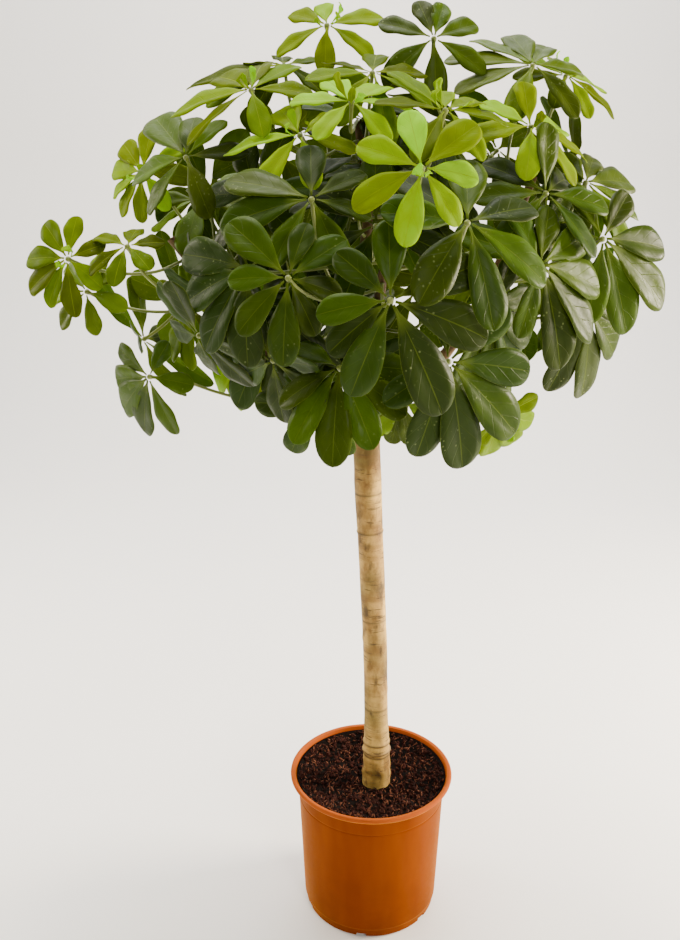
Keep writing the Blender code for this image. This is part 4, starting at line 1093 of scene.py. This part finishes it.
def stalks_mesh(name, tubes, tree, skin):
    curve = bpy.data.curves.new(name, "CURVE")
    curve.dimensions = "3D"
    for points, radii in tubes:
        spline = curve.splines.new("POLY")
        spline.points.add(len(points) - 1)
        for knot, point, radius in zip(spline.points, points, radii):
            knot.co = (*point, 1)
            knot.radius = radius
    item = new_object(name, curve)
    with_nodes(item, tree, {"Sides": STALK_SIDES, "Skin": skin})
    return baked(item, name + "_stalk")


def rounded_stalk(path, radius, knob):
    """A stalk's smooth points and radii: a flared foot, an even run, and the swollen hub."""
    points = smooth_path(path, STALK_STEPS)
    last = len(points) - 1
    radii = [radius * (1 + STALK_FLARE * math.exp(-i * 1.1) + STALK_SWELL * i / last)
             for i in range(last + 1)]
    if knob:
        ahead = (points[-1] - points[-2]).normalized()
        end = points[-1]
        points = points[:-1] + [end + ahead * step * KNOB_RADIUS for step in HUB_STEPS]
        radii = radii[:-1] + [KNOB_RADIUS * share for share in HUB_SHARES]
    return points, radii


# ---------------------------------------------------------------- stem, branches, pot and soil

def swept(name, path, radii, sides, shape, scar_heights):
    """A closed tube of many rings, whose radius a function changes a little everywhere."""
    work = bmesh.new()
    scar = work.verts.layers.float.new("scar")
    rings = []
    for i, (point, radius) in enumerate(zip(path, radii)):
        ahead = (path[min(i + 1, len(path) - 1)] - path[max(i - 1, 0)]).normalized()
        side = Vector((1, 0, 0)) if abs(ahead.x) < 0.9 else Vector((0, 1, 0))
        side = (side - ahead * side.dot(ahead)).normalized()
        other = ahead.cross(side)
        ring = []
        for k in range(sides):
            turn = 2 * math.pi * k / sides
            outward = side * math.cos(turn) + other * math.sin(turn)
            vert = work.verts.new(point + outward * (radius + shape(point, outward)))
            near = max([math.exp(-((point.z - h) / SCAR_WIDTH) ** 2) for h in scar_heights] + [0])
            patchy = noise.noise(Vector((math.cos(turn), math.sin(turn), point.z * 90)))
            vert[scar] = near * (0.75 + 0.5 * patchy)
            ring.append(vert)
        rings.append(ring)
    for low, high in zip(rings, rings[1:]):
        for k in range(sides):
            n = (k + 1) % sides
            work.faces.new((low[k], low[n], high[n], high[k]))
    work.faces.new(list(reversed(rings[0])))
    work.faces.new(rings[-1])
    return smoothed(mesh_of(work, name), 50)


def lumps(place, size, start=Vector()):
    """How far uneven bark stands out at this place."""
    across, along, up, height = size
    return noise.noise(Vector((place.x * across, place.y * along, place.z * up)) + start) * height


def stem_shape(point, outward):
    """Gentle swellings, a lumpy foot, and low knuckles where leaves once grew."""
    place = point + outward * 14 * MM
    foot = math.exp(-((point.z - STEM_KNEE[0]) / STEM_KNEE[1]) ** 2)
    knuckle = 0.0
    for height, turn in KNUCKLES:
        way = Vector((math.cos(turn), math.sin(turn), 0))
        near = math.exp(-((point.z - height) / KNUCKLE_REACH) ** 2)
        knuckle += max(0, outward.dot(way)) ** 3 * near * KNUCKLE_HEIGHT
    foot_lumps = lumps(place, STEM_LUMPS, Vector((3, 7, 1))) * foot
    return lumps(place, STEM_SWELL) + foot_lumps + lumps(place, STEM_GRAIN) + knuckle


def branch_shape(point, outward):
    """Small swellings and a fine grain."""
    place = point + outward * 6 * MM
    return lumps(place, BRANCH_SWELL) + lumps(place, BRANCH_GRAIN)


def fine_route(path, radii, step):
    """The same route and radii, resampled to even short steps."""
    points, sizes = [], []
    for (a, b), (p, q) in zip(zip(path, path[1:]), zip(radii, radii[1:])):
        count = max(1, round((b - a).length / step))
        for i in range(count):
            points.append(a.lerp(b, i / count))
            sizes.append(p + (q - p) * i / count)
    return points + [path[-1]], sizes + [radii[-1]]


def wall_radius(z):
    """Outside radius of the pot's tapered wall."""
    share = (z - WALL_FOOT_HEIGHT) / (WALL_TOP_HEIGHT - WALL_FOOT_HEIGHT)
    return WALL_FOOT_RADIUS + (WALL_TOP_RADIUS - WALL_FOOT_RADIUS) * share


def arc(centre, radius, start, end, steps):
    """Points on part of a circle in the (radius, height) plane, angles in degrees."""
    turns = [math.radians(start + (end - start) * i / steps) for i in range(steps + 1)]
    return [(centre[0] + radius * math.cos(t), centre[1] + radius * math.sin(t)) for t in turns]


def turned(name, profile, turns):
    mesh = bpy.data.meshes.new(name)
    mesh.from_pydata([(r, 0, z) for r, z in profile], [(i, i + 1) for i in range(len(profile) - 1)], [])
    item = new_object(name, mesh)
    screw = item.modifiers.new("Turn", "SCREW")
    screw.steps = turns
    screw.render_steps = turns
    screw.use_merge_vertices = True
    screw.merge_threshold = MERGE_DISTANCE
    return item


def pot_profile():
    """Once round the pot's section, from inside the lip over it, down the wall, under and back up."""
    lip, mouth = POT_HEIGHT, RIM_RADIUS - LIP_WIDTH
    profile = [(mouth, lip - 4.6 * MM), (mouth + 0.3 * MM, lip - 2 * MM), (mouth + 1 * MM, lip - 0.7 * MM)]
    profile += arc((RIM_RADIUS - LIP_ROLL, lip - LIP_ROLL), LIP_ROLL, 100, -60, 12)
    profile += [(RIM_RADIUS - LIP_ROLL, lip - 6.6 * MM), (RIM_RADIUS - 5 * MM, lip - 7.2 * MM)]
    profile += arc((WALL_TOP_RADIUS + 2.2 * MM, lip - 9.6 * MM), 2.2 * MM, 90, 180, 5)
    for row in GROOVE_ROWS:
        height = BAND_HEIGHT + row * MM
        profile.append((wall_radius(height) - GROOVE_DEPTH * math.exp(-(row / GROOVE_WIDTH) ** 2), height))
    profile += [(wall_radius(h * MM), h * MM) for h in (120, 90, 60, 30, 14)]
    profile += [(WALL_FOOT_RADIUS - 0.1 * MM, 12.2 * MM), (WALL_FOOT_RADIUS - 1.0 * MM, 11.2 * MM),
                (WALL_FOOT_RADIUS - 1.3 * MM, 10 * MM)]
    profile += arc((FOOT_RADIUS - 1.6 * MM, 3 * MM), 3 * MM, 0, -90, 6)
    profile += [(0.045, 0), (0, 0), (0, POT_FLOOR), (0.045, POT_FLOOR), (FOOT_RADIUS - 4 * MM, POT_FLOOR),
                (FOOT_RADIUS - 1 * MM, 4.5 * MM), (WALL_FOOT_RADIUS - POT_WALL - 1 * MM, WALL_FOOT_HEIGHT)]
    profile += [(wall_radius(h * MM) - POT_WALL, h * MM) for h in (40, 80, 120, 160)]
    profile += [(WALL_TOP_RADIUS - POT_WALL, lip - 8.7 * MM), (mouth - 0.5 * MM, lip - 5.2 * MM)]
    return profile + [profile[0]]


def make_pot(material):
    """The turned shell, with its drain holes cut through the corner between wall and floor."""
    pot = turned("pot_shell", pot_profile(), POT_TURNS)
    work = bmesh.new()
    for i in range(DRAIN_HOLES):
        angle = 2 * math.pi * (i + DRAIN_TURN) / DRAIN_HOLES
        cube = bmesh.ops.create_cube(work, size=1.0)["verts"]
        bmesh.ops.scale(work, verts=cube, vec=(DRAIN_SIZE[1] * 2, DRAIN_SIZE[0], DRAIN_SIZE[2] * 2))
        bmesh.ops.translate(work, verts=cube, vec=(FOOT_RADIUS + 2 * MM, 0, 0))
        bmesh.ops.rotate(work, verts=cube, cent=(0, 0, 0), matrix=Matrix.Rotation(angle, 3, "Z"))
    cutter = new_object("drain_cutter", mesh_of(work, "drain_cutter"))
    cut = pot.modifiers.new("Drain holes", "BOOLEAN")
    cut.operation = "DIFFERENCE"
    cut.solver = "EXACT"
    cut.object = cutter
    mesh = smoothed(baked(pot, "nursery_pot"), 42)
    bpy.data.objects.remove(cutter)
    finish_piece(new_object("nursery_pot", mesh, [material]), "pot_plastic", "pot")


def soil_height(x, y):
    """The crumbly top: a low mound with dips, a little higher at the wall than in the middle."""
    spread = math.hypot(x, y)
    settled = min(max((SOIL_RADIUS - spread) / SOIL_SETTLING, 0), 1)
    mound = SOIL_MIDDLE - settled * MM + (SOIL_EDGE - SOIL_MIDDLE) * (spread / SOIL_RADIUS) ** 3
    rough = sum(noise.noise(Vector((x * fine, y * fine, layer))) * high for fine, high, layer in SOIL_LUMPS)
    return mound + rough * settled


def soil_circle(spread):
    """Places round the potting mix at one distance from its middle."""
    turns = [2 * math.pi * k / SOIL_TURNS for k in range(SOIL_TURNS)]
    return [(spread * math.cos(turn), spread * math.sin(turn)) for turn in turns]


def make_soil(material, chip_materials):
    """The body of potting mix, then loose crumbs and fibres of bark on its top."""
    work = bmesh.new()
    middle = work.verts.new((0, 0, soil_height(0, 0)))
    circles = [soil_circle(SOIL_RADIUS * i / SOIL_RINGS) for i in range(1, SOIL_RINGS + 1)]
    rings = [[work.verts.new((x, y, soil_height(x, y))) for x, y in circle] for circle in circles]
    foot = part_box("soil")[0].z + 4 * MM
    for height, spread in ((WALL_TOP_HEIGHT, WALL_TOP_RADIUS - POT_WALL - WALL_SPACE),
                           (0.11, wall_radius(0.11) - POT_WALL - WALL_SPACE), (foot, FOOT_RADIUS - 6 * MM)):
        rings.append([work.verts.new((x, y, height)) for x, y in soil_circle(spread)])
    for k in range(SOIL_TURNS):
        n = (k + 1) % SOIL_TURNS
        work.faces.new((middle, rings[0][k], rings[0][n]))
        for inner, outer in zip(rings, rings[1:]):
            work.faces.new((inner[k], outer[k], outer[n], inner[n]))
    work.faces.new(list(reversed(rings[-1])))
    mesh = mesh_of(work, "potting_mix")
    mesh.shade_smooth()
    finish_piece(new_object("potting_mix", mesh, [material]), "potting_mix", "soil")
    for (name, chips), skin in zip(CHIPS.items(), chip_materials):
        finish_piece(new_object(name, strewn(name, *chips, skin)), "potting_mix")


def strewn(name, count, size, seed, slimness, skin):
    """Chips over the top of the mix, clear of the stem and of the pot's wall."""
    work = bmesh.new()
    grid = bmesh.ops.create_grid(work, x_segments=SOIL_GRID, y_segments=SOIL_GRID, size=SOIL_RADIUS)
    grid = grid["verts"]
    for vert in grid:
        vert.co.z = soil_height(vert.co.x, vert.co.y)
    stray = [v for v in grid if math.hypot(v.co.x - STEM[0][0], v.co.y) < STEM_RADII[0] + 1.5 * MM
             or math.hypot(v.co.x, v.co.y) > SOIL_RADIUS - 1.5 * MM]
    bmesh.ops.delete(work, geom=stray, context="VERTS")
    item = new_object(name, mesh_of(work, name))
    with_nodes(item, scatter_tree(), {"Per area": count / (math.pi * SOIL_RADIUS ** 2), "Size": size,
                                      "Slimness": slimness, "Seed": seed, "Skin": skin})
    return baked(item, name)


def scatter_tree():
    """Geometry nodes: chips strewn over a surface, each with its own turn, size and squash."""
    tree, given, result = new_tree("strewn_chips", [
        ("Per area", "Float"), ("Size", "Float"), ("Slimness", "Float"), ("Seed", "Int"),
        ("Skin", "Material")])
    chip = add(tree, "MeshIcoSphere", {"Radius": 1.0, "Subdivisions": 1})
    warp = add(tree, "TexNoise", {"Vector": add(tree, "InputPosition"), "Scale": 1.3})
    warp = add(tree, "VectorMath", {0: warp.outputs["Color"], 1: (0.5, 0.5, 0.5)}, operation="SUBTRACT")
    warp = add(tree, "VectorMath", {0: warp, "Scale": 1.6}, operation="SCALE")
    chip = add(tree, "SetPosition", {"Geometry": chip, "Offset": warp})
    places = add(tree, "DistributePointsOnFaces", {"Mesh": given["Geometry"], "Density": given["Per area"],
                                                   "Seed": given["Seed"]})
    turn = add(tree, "RandomValue", {0: (0, 0, 0), 1: (6.28, 6.28, 6.28), "Seed": given["Seed"]},
               data_type="FLOAT_VECTOR")
    size = add(tree, "RandomValue", {2: 0.35, 3: 1.25, "Seed": given["Seed"]}, data_type="FLOAT")
    size = add(tree, "Math", {0: size.outputs[1], 1: given["Size"]}, operation="MULTIPLY")
    slim = add(tree, "Math", {0: size, 1: given["Slimness"]}, operation="MULTIPLY")
    shape = add(tree, "CombineXYZ", {0: size, 1: slim, 2: slim})
    spread = add(tree, "InstanceOnPoints", {"Points": places, "Instance": chip, "Rotation": turn,
                                            "Scale": shape})
    chips = add(tree, "RealizeInstances", {0: spread})
    feed(tree, result, {0: add(tree, "SetMaterial", {"Geometry": chips, "Material": given["Skin"]})})
    return tree


# ---------------------------------------------------------------- building it all

def make_plant():
    upper = [(0.0, "#2C400A"), (0.28, "#445A06"), (0.55, "#6E8802"), (0.85, "#9ABC00"), (1.0, "#A4D808")]
    under = [(0.0, "#3E5808"), (0.5, "#6C8402"), (1.0, "#94B402")]
    skins = {
        "leaf_mature": (leaf_skin("mature_leaf_upper", upper, "#6C7E22", 0.42, 0.40, 0.13, 0.20),
                        leaf_skin("mature_leaf_under", under, "#7E8E34", 0.50, 0.60, 0.05, 0.20)),
        "leaf_young": (leaf_skin("young_leaf_upper", upper, "#A8BC30", 0.60, 0.42, 0.06, 0.50),
                       leaf_skin("young_leaf_under", under, "#AEBE48", 0.60, 0.60, 0.04, 0.50)),
    }
    petiole = stalk_skin()
    blades, stalks = blade_tree(), stalk_tree()
    slots = {row["node"]: row["material_slot"] for row in frame["record"]["subparts"]}
    stem_path, stem_radii, branches, leaves = grow_plant()

    scars = [height for height, proud in SCAR_RINGS] + BARE_SCARS
    path, radii = fine_route(stem_path, stem_radii, STEM_RING_STEP)
    mesh = swept("stem_bark", path, radii, STEM_TURNS, stem_shape, scars)
    wood = bark("smooth_stem_bark", "#E8BC60", "#7E581C", "#201204", "#5E581A")
    finish_piece(new_object("stem_bark", mesh, [wood]), "stem_bark", "stem")
    wood = bark("young_branch_bark", "#7A5C34", "#553A20", "#2A1A0E", "#4E5420")
    for name, path, radii in branches:
        path, radii = fine_route(path, radii, BRANCH_RING_STEP)
        mesh = swept(name + "_bark", path, radii, BRANCH_TURNS, branch_shape, [])
        finish_piece(new_object(name + "_bark", mesh, [wood]), "branch_bark", name)

    for name, tubes, sheets in leaves:
        slot = slots.get(name, "leaf_mature")
        meshes = [blades_mesh(name, sheets, blades, *skins[slot]),
                  stalks_mesh(name, tubes, stalks, petiole)]
        finish_piece(joined("foliage_" + name, meshes), slot, *[n for n in [name] if n in slots])


def make_stage():
    """A plain pale floor that curves up behind, and soft studio light."""
    end = SWEEP_START + SWEEP_RADIUS
    profile = [(FLOOR_FRONT, 0.0), (SWEEP_START, 0.0)]
    profile += arc((SWEEP_START, SWEEP_RADIUS), SWEEP_RADIUS, -90, 0, 9)[1:] + [(end, 3.5)]
    work = bmesh.new()
    rows = [[work.verts.new((x, y, z)) for y, z in profile] for x in (-FLOOR_SIDE, FLOOR_SIDE)]
    for i in range(len(profile) - 1):
        work.faces.new((rows[0][i], rows[1][i], rows[1][i + 1], rows[0][i + 1]))
    mesh = mesh_of(work, "studio_floor")
    mesh.shade_smooth()
    material, tree, shader = new_material("pale_paper_sweep")
    place = add(tree, "TexCoord").outputs["Object"]
    tone = add(tree, "TexNoise", {"Vector": place, "Scale": 3.0})
    colour = add(tree, "Mix", {0: tone.outputs["Fac"], 6: linear("#F6F5F3"), 7: linear("#FBFAF9")},
                 data_type="RGBA")
    feed(tree, shader, {"Base Color": colour.outputs[2], "Roughness": 0.9})
    new_object("studio_floor", mesh, [material])

    world = bpy.data.worlds.new("studio")
    world.use_nodes = True
    feed(world.node_tree, world.node_tree.nodes["Background"], {0: linear("#FFFFFF"), 1: SKY})
    bpy.context.scene.world = world
    for name, place, target, size, power, warmth in LAMPS:
        light = bpy.data.lights.new(name, "AREA")
        light.size = size
        light.energy = power
        light.color = linear(warmth)[:3]
        lamp = new_object(name, light)
        lamp.location = place
        lamp.rotation_euler = (Vector(target) - Vector(place)).to_track_quat("-Z", "Y").to_euler()


def make_camera():
    camera = bpy.data.cameras.new("camera")
    camera.lens = CAMERA_LENS
    camera.sensor_width = SENSOR_WIDTH
    view = new_object("camera", camera)
    view.location = CAMERA_PLACE
    view.rotation_euler = (math.radians(90 - CAMERA_DIP), 0, 0)
    bpy.context.scene.camera = view


make_pot(pot_plastic())
# each peat's last colour is its pale specks, partly painted highlights of wet glints
make_soil(peat("damp_peat", "#040201", "#120804", "#301E12"),
          [peat("bark_chip", "#080301", "#40201A", "#94807A"),
           peat("bark_fibre", "#482418", "#8A5A44", "#C0A494")])
make_plant()
make_stage()
make_camera()
